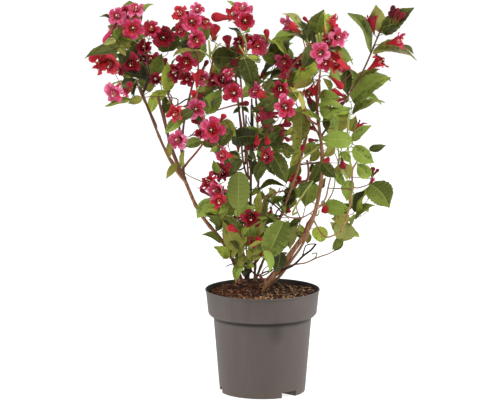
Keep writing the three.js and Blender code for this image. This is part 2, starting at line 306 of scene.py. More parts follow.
# The wall's profile, as radius and height in millimetres, from the middle of the underside round the
# outside and over the lip to the middle of the floor inside.
POT_PROFILE = [
    (0, 2.2), (60, 2.2), (64, 0.5), (65.5, 0), (69.6, 0), (70.6, 0.4), (71, 1.2), (72.2, 14), (81.3, 124.4),
    (81.6, 125.6), (82.3, 126.2), (86.8, 128.6), (89.2, 131.2), (90, 133.2), (90.3, 134.6), (93.6, 166.9),
    (93.3, 168.3), (93.9, 169.1), (94.8, 169.3), (95, 169.8), (95, 171.2), (94.6, 171.8), (93.8, 172),
    (92.9, 171.7), (92.6, 171), (92.5, 169), (88.7, 135), (87.9, 132.4), (85.7, 130), (80.8, 127.2),
    (80.1, 125.6), (80, 124.2), (70, 3.6), (69.4, 2.8), (0, 2.8),
]
FOOT_RADIUS = POT_PROFILE[4][0]
NOTCH_BEARINGS = (-51.5, 68.5, 188.5)  # degrees from +X towards +Y
NOTCH_SWEEP, NOTCH_HIGH, NOTCH_STEPS = 24, 9.8, 10
NOTCH_DEEP = 58  # each notch is the end of a channel under the floor
NOTCH_SKIN = 1.2  # the moulding's thickness round a notch
# How far past the foot, and from what height, a notch is cut out and its skin is joined on.
CUT_PAST, CUT_FROM = 12, -2
SKIN_PAST, SKIN_FROM = 0.4, 0.3


def level_ring(shape, radius, height, sides):
    """A level ring of corners round Z, in millimetres. At the middle it is one corner."""
    turns = [2 * math.pi * side / sides for side in range(sides if radius else 1)]
    return [
        shape.verts.new((radius * MM * math.cos(turn), radius * MM * math.sin(turn), height * MM))
        for turn in turns
    ]


def skin(shape, rings, sides):
    """Adds the faces between each ring of corners and the next."""
    for here, beyond in zip(rings, rings[1:]):
        for side in range(sides):
            after = (side + 1) % sides
            corners = [here[side % len(here)], here[after % len(here)]]
            corners += [beyond[after % len(beyond)], beyond[side % len(beyond)]]
            shape.faces.new(list(dict.fromkeys(corners)))


def ring_block(shape, inner, outer, bearing, sweep, low, high):
    """Adds a closed block that follows the pot's foot, as wide as its sweep in degrees."""
    columns = []
    for step in range(NOTCH_STEPS + 1):
        turn = math.radians(bearing + sweep * (step / NOTCH_STEPS - 0.5))
        across = Vector((math.cos(turn), math.sin(turn), 0)) * MM
        corners = [(inner, low), (outer, low), (outer, high), (inner, high)]
        columns.append([shape.verts.new(across * r + Vector((0, 0, h * MM))) for r, h in corners])
    skin(shape, columns, 4)
    shape.faces.new(columns[0][::-1])
    shape.faces.new(columns[-1])


def meshed(name, shape):
    bmesh.ops.recalc_face_normals(shape, faces=shape.faces)
    mesh = bpy.data.meshes.new(name)
    shape.to_mesh(mesh)
    shape.free()
    return shown(name, mesh)


def cut_or_joined(body, other, operation):
    """Cuts a closed piece from a body or joins it on, and drops the other piece."""
    change = body.modifiers.new("change", "BOOLEAN")
    change.operation = operation
    change.solver = "EXACT"
    change.object = other
    solid = bpy.data.meshes.new_from_object(body.evaluated_get(bpy.context.evaluated_depsgraph_get()))
    body.modifiers.clear()
    body.data = solid
    bpy.data.objects.remove(other)


def smooth(piece, sharp_angle):
    piece.data.shade_smooth()
    piece.data.set_sharp_from_angle(angle=math.radians(sharp_angle))


def notch_blocks(grown_by=0):
    """The notches with their channels, to be cut out, or, when they are grown, the blocks of their skin."""
    past, low = (SKIN_PAST, SKIN_FROM) if grown_by else (CUT_PAST, CUT_FROM)
    inner, outer = FOOT_RADIUS - NOTCH_DEEP - grown_by, FOOT_RADIUS + past
    sweep = NOTCH_SWEEP + 2 * math.degrees(grown_by / FOOT_RADIUS)
    blocks = bmesh.new()
    for bearing in NOTCH_BEARINGS:
        ring_block(blocks, inner, outer, bearing, sweep, low, NOTCH_HIGH + grown_by)
    return meshed("notch_blocks", blocks)


pot_shape = bmesh.new()
skin(pot_shape, [level_ring(pot_shape, radius, high, POT_SIDES) for radius, high in POT_PROFILE], POT_SIDES)
pot = meshed("nursery_pot", pot_shape)
cut_or_joined(pot, notch_blocks(NOTCH_SKIN), "UNION")
cut_or_joined(pot, notch_blocks(), "DIFFERENCE")
smooth(pot, sharp_angle=32)
pot.data.materials.clear()
pot.data.materials.append(pot_plastic())
pot.data.materials.append(pot_inside())
# faces that look inwards get the finish with painted shade
for face in pot.data.polygons:
    looks_in = face.normal.x * face.center.x + face.normal.y * face.center.y < 0
    face.material_index = 1 if looks_in and face.center.z > INSIDE_FROM else 0
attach(pot, "root")
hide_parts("pot")

# ---- Compost ----
# Dark peat compost topped with reddish bark chips and pale fibres, with the low mound of the root ball on
# top, and a fallen petal.

COMPOST_TOP, COMPOST_RADIUS, COMPOST_FOOT = 165.4, 92.2, 3.2
EDGE_DIP, EDGE_FROM = 5, 78  # how far the compost sinks at the wall, and the radius where that starts
EDGE_DROP = 1.6  # the step down at the wall itself
MOUND_X, MOUND_Y, MOUND_RADIUS, MOUND_HIGH, MOUND_POWER = -14, 42, 44, 7, 0.8
# The unevenness of the top, from coarse to fine: how high, how wide, and where in the noise it lies.
ROLLING, CLODS, CRUMBS = (2.4, 24, 1), (1.6, 5, 7), (0.8, 2, 3)
COMPOST_RINGS, RING_POWER, COMPOST_SIDES = 58, 0.9, 150
COMPOST_WALL = [(86, 137), (79, 126), (78.6, 122), (68.8, COMPOST_FOOT), (0, COMPOST_FOOT)]
NOTCH_ROOM = 0.4  # between the compost and the skin of a notch


def unevenness(x, y, high, wide, part):
    return high * noise.noise(Vector((x / wide, y / wide, part)))


def compost_height(x, y):
    """The height of the compost's uneven top, in millimetres."""
    off = math.hypot(x - MOUND_X, y - MOUND_Y) / MOUND_RADIUS
    dip = EDGE_DIP * max(0, (math.hypot(x, y) - EDGE_FROM) / (COMPOST_RADIUS - EDGE_FROM)) ** 2
    mound = MOUND_HIGH * max(0, 1 - off**2) ** MOUND_POWER
    crumbs = unevenness(x, y, *CLODS) + unevenness(x, y, *CRUMBS)
    return COMPOST_TOP + mound + unevenness(x, y, *ROLLING) + crumbs - dip


def compost_soil():
    """Damp peat: near black to red-brown, in crumbs."""
    finish = Finish("compost_soil", Roughness=0.95, Specular_IOR_Level=0.2)
    crumbs = finish.noise(finish.place(), scale=330, detail=4)
    clods = finish.noise(finish.place(), scale=70)
    tints = finish.ramp(
        crumbs, (0.3, colour(22, 15, 12)), (0.48, colour(48, 31, 22)), (0.6, colour(84, 52, 34)),
        (0.72, colour(120, 80, 50)),
    )
    finish.feed("Base Color", finish.mix(finish.mask(clods, 0.4, 0.7), tints, colour(44, 29, 21)))
    finish.bump(crumbs, strength=0.6, distance=0.002)
    return finish.material


def compost_body():
    """The whole filling of the pot, with its top in rings round the middle."""
    shape = bmesh.new()
    rings = [[shape.verts.new((0, 0, compost_height(0, 0) * MM))]]
    for ring in range(1, COMPOST_RINGS + 1):
        radius = COMPOST_RADIUS * (ring / COMPOST_RINGS) ** RING_POWER
        drop = EDGE_DROP if ring == COMPOST_RINGS else 0
        row = []
        for side in range(COMPOST_SIDES):
            turn = 2 * math.pi * side / COMPOST_SIDES
            x, y = radius * math.cos(turn), radius * math.sin(turn)
            row.append(shape.verts.new((x * MM, y * MM, (compost_height(x, y) - drop) * MM)))
        rings.append(row)
    rings += [level_ring(shape, radius, height, COMPOST_SIDES) for radius, height in COMPOST_WALL]
    skin(shape, rings, COMPOST_SIDES)
    return meshed("compost", shape)


compost = compost_body()
cut_or_joined(compost, notch_blocks(NOTCH_SKIN + NOTCH_ROOM), "DIFFERENCE")
smooth(compost, sharp_angle=60)
compost.data.materials.append(compost_soil())
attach(compost, "root")
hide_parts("compost")


def unit(way):
    return np.asarray(way, float) / max(np.linalg.norm(way), 1e-12)


TUBE_START = (0.3, 1, 0.2)  # a tube's first corner lies square to its path and to this


def tube(path, radii, sides):
    """The vertices and quads of a closed tube round a path. radii has one row for each point."""
    path = np.asarray(path, float)
    radii = np.broadcast_to(np.asarray(radii, float).reshape(len(path), -1), (len(path), sides))
    ways = np.gradient(path, axis=0)
    ways /= np.linalg.norm(ways, axis=1, keepdims=True)
    side_way = unit(np.cross(ways[0], TUBE_START))
    turns = 2 * np.pi * np.arange(sides) / sides
    rings = []
    for place, way, radius in zip(path, ways, radii):
        side_way = unit(side_way - way * np.dot(side_way, way))
        other_way = np.cross(way, side_way)
        spokes = np.outer(np.cos(turns), side_way) + np.outer(np.sin(turns), other_way)
        rings.append(place + spokes * radius[:, None])
    quads = []
    for ring in range(len(path) - 1):
        for side in range(sides):
            here, after = ring * sides + side, ring * sides + (side + 1) % sides
            quads.append((here, after, after + sides, here + sides))
    last = (len(path) - 1) * sides
    for side in range(1, sides - 1, 2):
        quads.append((0, side + 2, side + 1, side) if side + 2 < sides else (0, side + 1, side, 0))
        quads.append((last, last + side, last + side + 1, last + side + 2))
    return np.concatenate(rings), [quad for quad in quads if len(set(quad)) == 4]


class Sheaf:
    """Gathers many small shapes of plain colours, all of quads, into one joined piece."""

    def __init__(self):
        self.vertices = []
        self.quads = []
        self.tones = []
        self.count = 0

    def add(self, vertices, quads, tones):
        """Adds a shape. tones is one name, or one for each quad."""
        self.vertices.append(np.asarray(vertices, float))
        self.quads.append(np.asarray(quads, int) + self.count)
        self.tones += [tones] * len(quads) if isinstance(tones, str) else list(tones)
        self.count += len(vertices)

    def add_tube(self, path, radii, sides, tones):
        self.add(*tube(path, radii, sides), tones)

    def piece(self, name, slot, palette, nodes=()):
        """The joined piece, which rides on the pot's body and stands for CAD nodes."""
        mesh = bpy.data.meshes.new(name)
        mesh.from_pydata(np.concatenate(self.vertices).tolist(), [], np.concatenate(self.quads).tolist())
        used = sorted(set(self.tones))
        for tone in used:
            mesh.materials.append(palette[tone])
        number = {tone: place for place, tone in enumerate(used)}
        mesh.polygons.foreach_set("material_index", [number[tone] for tone in self.tones])
        mesh.shade_smooth()
        mesh.update()
        made = shown(name, mesh)
        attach(made, "root")
        if nodes:
            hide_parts(*nodes)
        return made


def plain(name, tint, roughness, specular=0.3):
    """A plain finish for one tone of a joined piece."""
    return Finish(name, Base_Color=tint, Roughness=roughness, Specular_IOR_Level=specular).material


CHIP_TINTS = {
    "chip_black": (30, 21, 17), "chip_umber": (54, 35, 25), "chip_brown": (78, 48, 32),
    "chip_red": (108, 58, 37), "chip_orange": (136, 82, 46), "chip_ochre": (158, 112, 56),
    "chip_tan": (182, 142, 96), "chip_pale": (214, 184, 142),
}
chip_palette = {name: plain(name, colour(*tint), 0.9) for name, tint in CHIP_TINTS.items()}

# A chip is a split block with eight corners drawn out of square. Its quads turn outwards.
BLOCK = np.array([(x, y, z) for z in (-1, 1) for y in (-1, 1) for x in (-1, 1)], float)
BLOCK_QUADS = [(0, 2, 3, 1), (4, 5, 7, 6), (0, 1, 5, 4), (2, 6, 7, 3), (0, 4, 6, 2), (1, 3, 7, 5)]

DARK_CHIPS = ("black", "black", "umber", "umber", "brown", "red", "tan")
RED_CHIPS = ("black", "umber", "brown", "red", "red", "orange")
OCHRE_CHIPS = ("umber", "brown", "orange", "ochre", "ochre", "tan", "pale")
# The side and the front of the top that redder and paler chips lie on, and how far they mix with the rest.
RED_SIDE, RED_BLUR, OCHRE_FRONT, OCHRE_BLUR = -22, 18, -48, 14
CHIP_COUNT, FIBRE_COUNT = 1400, 70
CHIP_MARGIN, FIBRE_MARGIN = 5.5, 12  # between the outermost ones and the wall
CHIP_LONG, CHIP_WIDE, CHIP_THICK, CHIP_SIZE = (2.5, 8), (0.9, 2.5), (0.6, 1.4), 1.4
SPLINTER_FROM, SPLINTER = 0.85, 1.7  # the draw from which a chip is a splinter, and how much longer it is
CHIP_CORNERS = (0.6, 1.1)  # how far each corner is drawn in or out
CHIP_SLOPE, CHIP_TILT, CHIP_LIFT = 0.35, 0.5, 0.5
FIBRE_POINTS, FIBRE_STEP, FIBRE_BEND = 6, 2.4, 0.9
FIBRE_LIFT, FIBRE_RISE, FIBRE_RADIUS = 1.6, 0.5, 0.3


def on_disc(radius, chance):
    """A place on a disc, where every part of it is as likely."""
    far = radius * math.sqrt(chance.random())
    turn = chance.uniform(0, 2 * math.pi)
    return far * math.cos(turn), far * math.sin(turn)


def bark_chips(chips, chance):
    """Adds the bark chips, each at its own slant, sunk a little in the peat."""
    for _ in range(CHIP_COUNT):
        x, y = on_disc(COMPOST_RADIUS - CHIP_MARGIN, chance)
        long = chance.uniform(*CHIP_LONG) * (1 if chance.random() < SPLINTER_FROM else SPLINTER)
        half = np.array([long, chance.uniform(*CHIP_WIDE), chance.uniform(*CHIP_THICK)]) / 2 * CHIP_SIZE
        corners = BLOCK * half * np.array([[chance.uniform(*CHIP_CORNERS) for _ in range(3)] for _ in BLOCK])
        bearing = chance.uniform(0, 2 * math.pi)
        along = np.array([math.cos(bearing), math.sin(bearing), chance.uniform(-CHIP_SLOPE, CHIP_SLOPE)])
        up = unit([chance.uniform(-CHIP_TILT, CHIP_TILT), chance.uniform(-CHIP_TILT, CHIP_TILT), 1])
        across = unit(np.cross(up, along))
        stand = np.array([unit(along), across, np.cross(unit(along), across)])
        centre = np.array([x, y, compost_height(x, y) + CHIP_LIFT])
        tones = OCHRE_CHIPS if y + chance.uniform(-OCHRE_BLUR, OCHRE_BLUR) < OCHRE_FRONT else DARK_CHIPS
        tones = RED_CHIPS if x + chance.uniform(-RED_BLUR, RED_BLUR) < RED_SIDE else tones
        chips.add((corners @ stand + centre) * MM, BLOCK_QUADS, "chip_" + chance.choice(tones))


def compost_fibres(chips, chance):
    """Adds pale bent fibres that lie on the chips."""
    for _ in range(FIBRE_COUNT):
        x, y = on_disc(COMPOST_RADIUS - FIBRE_MARGIN, chance)
        bearing = chance.uniform(0, 2 * math.pi)
        bend = chance.uniform(-FIBRE_BEND, FIBRE_BEND)
        path = []
        for step in range(FIBRE_POINTS):
            path.append((x, y, compost_height(x, y) + FIBRE_LIFT + FIBRE_RISE * math.sin(step)))
            bearing += bend / 3
            x += FIBRE_STEP * math.cos(bearing)
            y += FIBRE_STEP * math.sin(bearing)
        radii = [FIBRE_RADIUS * MM] * FIBRE_POINTS
        chips.add_tube(np.array(path) * MM, radii, 4, chance.choice(["chip_pale", "chip_tan", "chip_red"]))


PETAL_AT = (239, 284)
COMPOST_SIGHT = 88  # how far from the middle a place is looked for, in millimetres
PETAL_LIFT, PETAL_THICK, PETAL_CUP = 0.5, 0.4, 0.4
PETAL_LEAN = np.array([1.5, -1, 8]) * MM  # from the petal's base to its end
# The petal's outline: shares of its length, and half its width there.
PETAL_OUTLINE = ((0, 0.8), (0.3, 1.6), (0.65, 2.2), (0.9, 1.6), (1, 0.6))


def on_compost(at):
    """The place on the compost that the eye sees at a point of the sheet."""
    for depth in range(-COMPOST_SIGHT, COMPOST_SIGHT):
        place = from_sheet(at, depth * MM)
        if place[2] <= compost_height(place[0] / MM, depth) * MM:
            break
    return place


def fallen_petal(base):
    """The vertices and quads of a fallen petal that stands on its narrow base."""
    front = []
    for share, half in PETAL_OUTLINE:
        middle = base + PETAL_LEAN * share
        front += [middle - (half * MM, 0, 0), middle + (half * MM, 0, half * PETAL_CUP * MM)]
    count = len(front)
    quads = []
    for left in range(0, count - 2, 2):
        right = left + 1
        quads.append((left, right, right + 2, left + 2))
        quads.append((left + count + 2, right + count + 2, right + count, left + count))
        quads.append((left, left + 2, left + count + 2, left + count))
        quads.append((right, right + count, right + count + 2, right + 2))
    quads += [(0, count, count + 1, 1), (count - 2, count - 1, 2 * count - 1, 2 * count - 2)]
    return np.concatenate([front, np.array(front) + (0, PETAL_THICK * MM, 0)]), quads


chip_chance = random.Random(11)
chips = Sheaf()
bark_chips(chips, chip_chance)
compost_fibres(chips, chip_chance)
chip_palette["fallen_petal"] = plain("fallen_petal", colour(206, 110, 152), 0.6)
chips.add(*fallen_petal(on_compost(PETAL_AT) + (0, 0, PETAL_LIFT * MM)), "fallen_petal")
chips.piece("bark_chips", "compost", chip_palette)

# ---- Canes and boughs ----
# Young wood with thin ridged bark, tan to red-brown, grown and not made. Five canes and one short one rise
# from the root ball and fork into boughs, with a swollen joint wherever a pair of leaves once stood.

CANE_FOOT = 166.4
MOUND_FOOT = 172.4
LEFT_FORK = (-129, -30, 362)
MIDDLE_FORK = (-19, 28, 369)
RIGHT_FORK = (94, -40, 430)
LOW_NODE = (82, -40, 295)
LOW_BEND = (128, -60, 278)

# Each limb has its thickness at foot and tip, and the points it passes through, in millimetres.
LIMBS = {
    "cane_right": (
        (7.4, 5.2), [(0, -6, CANE_FOOT), (32, -24, 216), (79, -40, 287), (98, -42, 385), (94, -40, 432)],
    ),
    "cane_left": ((6.4, 5.6), [(-33, 49, MOUND_FOOT), (-59, 26, 235), (-104, -10, 302), LEFT_FORK]),
    "cane_middle": ((5, 4.2), [(-24, 55, MOUND_FOOT), (-21, 42, 250), MIDDLE_FORK]),
    "cane_centre": (
        (4.4, 3), [(-13, 53, MOUND_FOOT), (27, 25, 281), (58, -12, 374), (74, -20, 445), (67, -20, 486)],
    ),
    "cane_back_middle": ((4.4, 3), [(-13, 66, MOUND_FOOT), (-8, 122, 287), (-6, 148, 375), (-12, 158, 495)]),
    "cane_back_right": (
        (4.6, 3), [(4, 60, MOUND_FOOT), (36, 86, 203), (87, 120, 279), (100, 138, 380), (90, 150, 482)],
    ),
    "bough_left_outer": ((4.8, 3.2), [LEFT_FORK, (-155, -32, 400), (-184, -34, 470), (-199, -30, 512)]),
    "bough_left_middle": ((4.4, 3.4), [LEFT_FORK, (-149, -22, 406), (-164, -16, 480)]),
    "bough_back_left": ((3.8, 2.8), [LEFT_FORK, (-135, 30, 402), (-142, 95, 442), (-164, 130, 492)]),
    "bough_left_inner": ((4, 3.2), [LEFT_FORK, (-130, -42, 440), (-114, -34, 518)]),
    "bough_middle_left": ((3.6, 2.8), [MIDDLE_FORK, (-34, 16, 435), (-44, 0, 533), (-40, -3, 598)]),
    "bough_middle_right": ((3.6, 2.8), [MIDDLE_FORK, (-17, 5, 440), (-18, -30, 492)]),
    "bough_right_inner": ((3.2, 2.4), [RIGHT_FORK, (74, -33, 465), (62, -24, 503)]),
    "bough_right_upper": ((4.4, 2.8), [RIGHT_FORK, (88, -42, 480), (94, -44, 545)]),
    "bough_tip": ((3.6, 2.6), [RIGHT_FORK, (126, -16, 474), (162, 0, 530), (194, 3, 604)]),
    "shoot_right_low": ((3, 2.8), [LOW_NODE, (103, -55, 268), LOW_BEND]),
    "shoot_right_outer": ((3.2, 3), [LOW_BEND, (143, -58, 325), (146, -56, 378)]),
}
LIMB_SIDES, LIMB_STEP, CURVE_FINE = 12, 0.0035, 40
JOINT_EVERY = 0.047  # between one pair of leaf scars and the next
JOINT_SWELL, JOINT_HALF = 0.26, 0.0032  # how much thicker a joint is, and how far it reaches each way
CANE_FLARE, BOUGH_FLARE, FLARE_LONG = 0.1, 0.45, 0.006  # the same at a limb's foot
# The ridges of the bark, as shares of the radius: four long ones that wander, and small ones.
LONG_RIDGE, RIDGES, WANDER, WANDER_EVERY = 0.07, 4, 1.3, 30
SMALL_RIDGE, SMALL_ROUND, SMALL_EVERY = 0.08, 2, 160
FOOT_SUNK = 2  # how far a cane's foot reaches into the compost, in millimetres
CANE_BARE, BOUGH_BARE = 12, 2  # how many steps of a limb's foot nothing grows from


def along_path(path):
    """How far along a path each of its points lies."""
    return np.concatenate([[0], np.cumsum(np.linalg.norm(np.diff(path, axis=0), axis=1))])


def found_at(far, along, path):
    return np.stack([np.interp(far, along, path[:, axis]) for axis in range(3)], axis=-1)


def curve_through(points, step):
    """Evenly spaced points on a centripetal Catmull-Rom curve, and the share of its length at each."""
    points = np.asarray(points, float)
    ends = [2 * points[0] - points[1], *points, 2 * points[-1] - points[-2]]
    fine = []
    for p0, p1, p2, p3 in zip(ends, ends[1:], ends[2:], ends[3:]):
        d0, d1, d2 = (np.linalg.norm(b - a) ** 0.5 for a, b in ((p0, p1), (p1, p2), (p2, p3)))
        out = ((p1 - p0) / d0 - (p2 - p0) / (d0 + d1) + (p2 - p1) / d1) * d1
        back = ((p2 - p1) / d1 - (p3 - p1) / (d1 + d2) + (p3 - p2) / d2) * d1
        t = np.linspace(0, 1, CURVE_FINE, endpoint=False)[:, None]
        bend = 3 * (p2 - p1) - 2 * out - back
        fine.append(p1 + out * t + bend * t**2 + (2 * (p1 - p2) + out + back) * t**3)
    fine = np.concatenate([*fine, points[-1:]])
    along = along_path(fine)
    even = np.linspace(0, along[-1], max(3, int(math.ceil(along[-1] / step)) + 1))
    return found_at(even, along, fine), even / along[-1], along[-1]


wood_points = []
wood_ways = []
wood_radii = []


def remember_wood(path, radii):
    """Notes wood that later twigs can grow from."""
    ways = np.gradient(np.asarray(path), axis=0)
    wood_points.extend(path)
    wood_ways.extend(ways / np.linalg.norm(ways, axis=1, keepdims=True))
    wood_radii.extend(radii)


# The bark of each age: its dark, middle, light and palest streaks, its patches and its flecks. Bark of the
# left darkens towards the top between the two heights.
DARKENS_FROM, DARKENS_TO = 0.4, 0.47
LEFT_DULL = 0.75
BARKS = {
    "cane_bark": [
        (96, 62, 42), (146, 100, 68), (176, 130, 94), (206, 168, 128), (124, 78, 54), (60, 38, 28)
    ],
    "left_bark": [
        (96, 62, 42), (150, 104, 70), (180, 132, 94), (206, 168, 128), (124, 78, 54), (60, 38, 28)
    ],
    "dark_bark": [(58, 38, 28), (90, 60, 44), (126, 90, 64), (164, 124, 90), (74, 46, 36), (40, 26, 20)],
    "young_bark": [
        (104, 82, 50), (148, 118, 74), (176, 144, 92), (200, 168, 112), (150, 100, 66), (90, 64, 42)
    ],
}
# The limbs of each bark. All others have the cane bark.
BARK_LIMBS = {
    "dark_bark": [
        "bough_left_inner", "bough_back_left", "bough_middle_left", "bough_middle_right", "cane_middle",
        "cane_back_middle", "bough_tip",
    ],
    "left_bark": ["bough_left_outer", "bough_left_middle", "cane_left"],
    "young_bark": ["shoot_right_outer", "shoot_right_low"],
}


def bark_finish(name):
    """Bark with streaks along the wood, broad patches and darker flecks."""
    dark, middle, light, palest, patch, fleck = (colour(*tint) for tint in BARKS[name])
    finish = Finish(name, Specular_IOR_Level=0.25)
    streaks = finish.noise(finish.place((1, 1, 0.12)), scale=620)
    patches = finish.noise(finish.place((1, 1, 0.5)), scale=42)
    flecks = finish.noise(finish.place((1, 1, 0.5)), scale=900, detail=2)
    tints = finish.ramp(streaks, (0.3, dark), (0.43, middle), (0.56, light), (0.7, palest))
    shaded = finish.mix(finish.mask(patches, 0.45, 0.7), tints, patch)
    if name == "left_bark":
        high = finish.ramp(finish.height(), (DARKENS_FROM, grey(0)), (DARKENS_TO, grey(LEFT_DULL)))
        shaded = finish.mix(high, shaded, colour(58, 40, 31))
    finish.feed("Base Color", finish.mix(0.4 * (1 - flecks), shaded, fleck))
    finish.feed("Roughness", 0.62 + 0.25 * streaks)
    finish.bump(streaks + 0.4 * flecks, strength=0.45, distance=0.0008)
    return finish.material


def ridged_limb(name, thick, through, bark):
    """One limb, ridged along its length, with its swollen joints."""
    is_cane = name.startswith("cane")
    path, share, length = curve_through(np.array(through) * MM, LIMB_STEP)
    seed = sum(map(ord, name))
    chance = random.Random(seed)
    base = (thick[0] + (thick[1] - thick[0]) * share) / 2 * MM
    along = share * length
    count = int(length / JOINT_EVERY)
    joints = [JOINT_EVERY * (number + 0.6 + chance.uniform(-0.15, 0.15)) for number in range(count)]
    swelling = sum((np.exp(-(((along - joint) / JOINT_HALF) ** 2)) for joint in joints), np.zeros(len(path)))
    flare = (CANE_FLARE if is_cane else BOUGH_FLARE) * np.exp(-((along / FLARE_LONG) ** 2))
    rows = []
    for step, radius in enumerate(base):
        ridges = []
        for turn in 2 * np.pi * np.arange(LIMB_SIDES) / LIMB_SIDES:
            wander = WANDER * noise.noise(Vector((along[step] * WANDER_EVERY, seed, turn)))
            x, y = SMALL_ROUND * math.cos(turn), SMALL_ROUND * math.sin(turn) + seed
            small = noise.noise(Vector((x, y, along[step] * SMALL_EVERY)))
            ridges.append(LONG_RIDGE * math.sin(RIDGES * turn + wander) + SMALL_RIDGE * small)
        rows.append(radius * (1 + JOINT_SWELL * swelling[step] + flare[step] + np.array(ridges)))
    vertices, quads = tube(path, rows, LIMB_SIDES)
    if is_cane:
        vertices[:LIMB_SIDES, 2] = path[0, 2] - FOOT_SUNK * MM
    mesh = bpy.data.meshes.new(name + "_bark")
    mesh.from_pydata(vertices.tolist(), [], [list(quad) for quad in quads])
    mesh.materials.append(bark)
    mesh.shade_smooth()
    limb = shown(name + "_bark", mesh)
    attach(limb, "root")
    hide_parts(name)
    bare = CANE_BARE if is_cane else BOUGH_BARE
    remember_wood(path[bare:], base[bare:])


barks = {name: bark_finish(name) for name in BARKS}
limb_barks = {limb: barks[name] for name, limbs in BARK_LIMBS.items() for limb in limbs}
for limb_name, (limb_thick, limb_through) in LIMBS.items():
    ridged_limb(limb_name, limb_thick, limb_through, limb_barks.get(limb_name, barks["cane_bark"]))

# ---- Twigs ----
# The plant's thinnest wood: long bare twigs that show in the crown's gaps, a few dry ones low down, and the
# growth rule by which every leaf and flower gets a twig or stalk from the nearest wood.

TWIG_TINTS = {
    "twig_brown": (104, 70, 50), "twig_tan": (156, 118, 86), "twig_red": (138, 70, 54),
    "twig_dark": (50, 31, 26), "twig_pink": (178, 112, 96), "stalk_green": (118, 128, 58),
    "stalk_lime": (166, 172, 92),
}
twig_palette = {name: plain(name, colour(*tint), 0.7) for name, tint in TWIG_TINTS.items()}
twigs = Sheaf()
TWIG_SIDES = 6
POINT_SIZE = 1.66 * MM  # what one point of the sheet spans at the plant

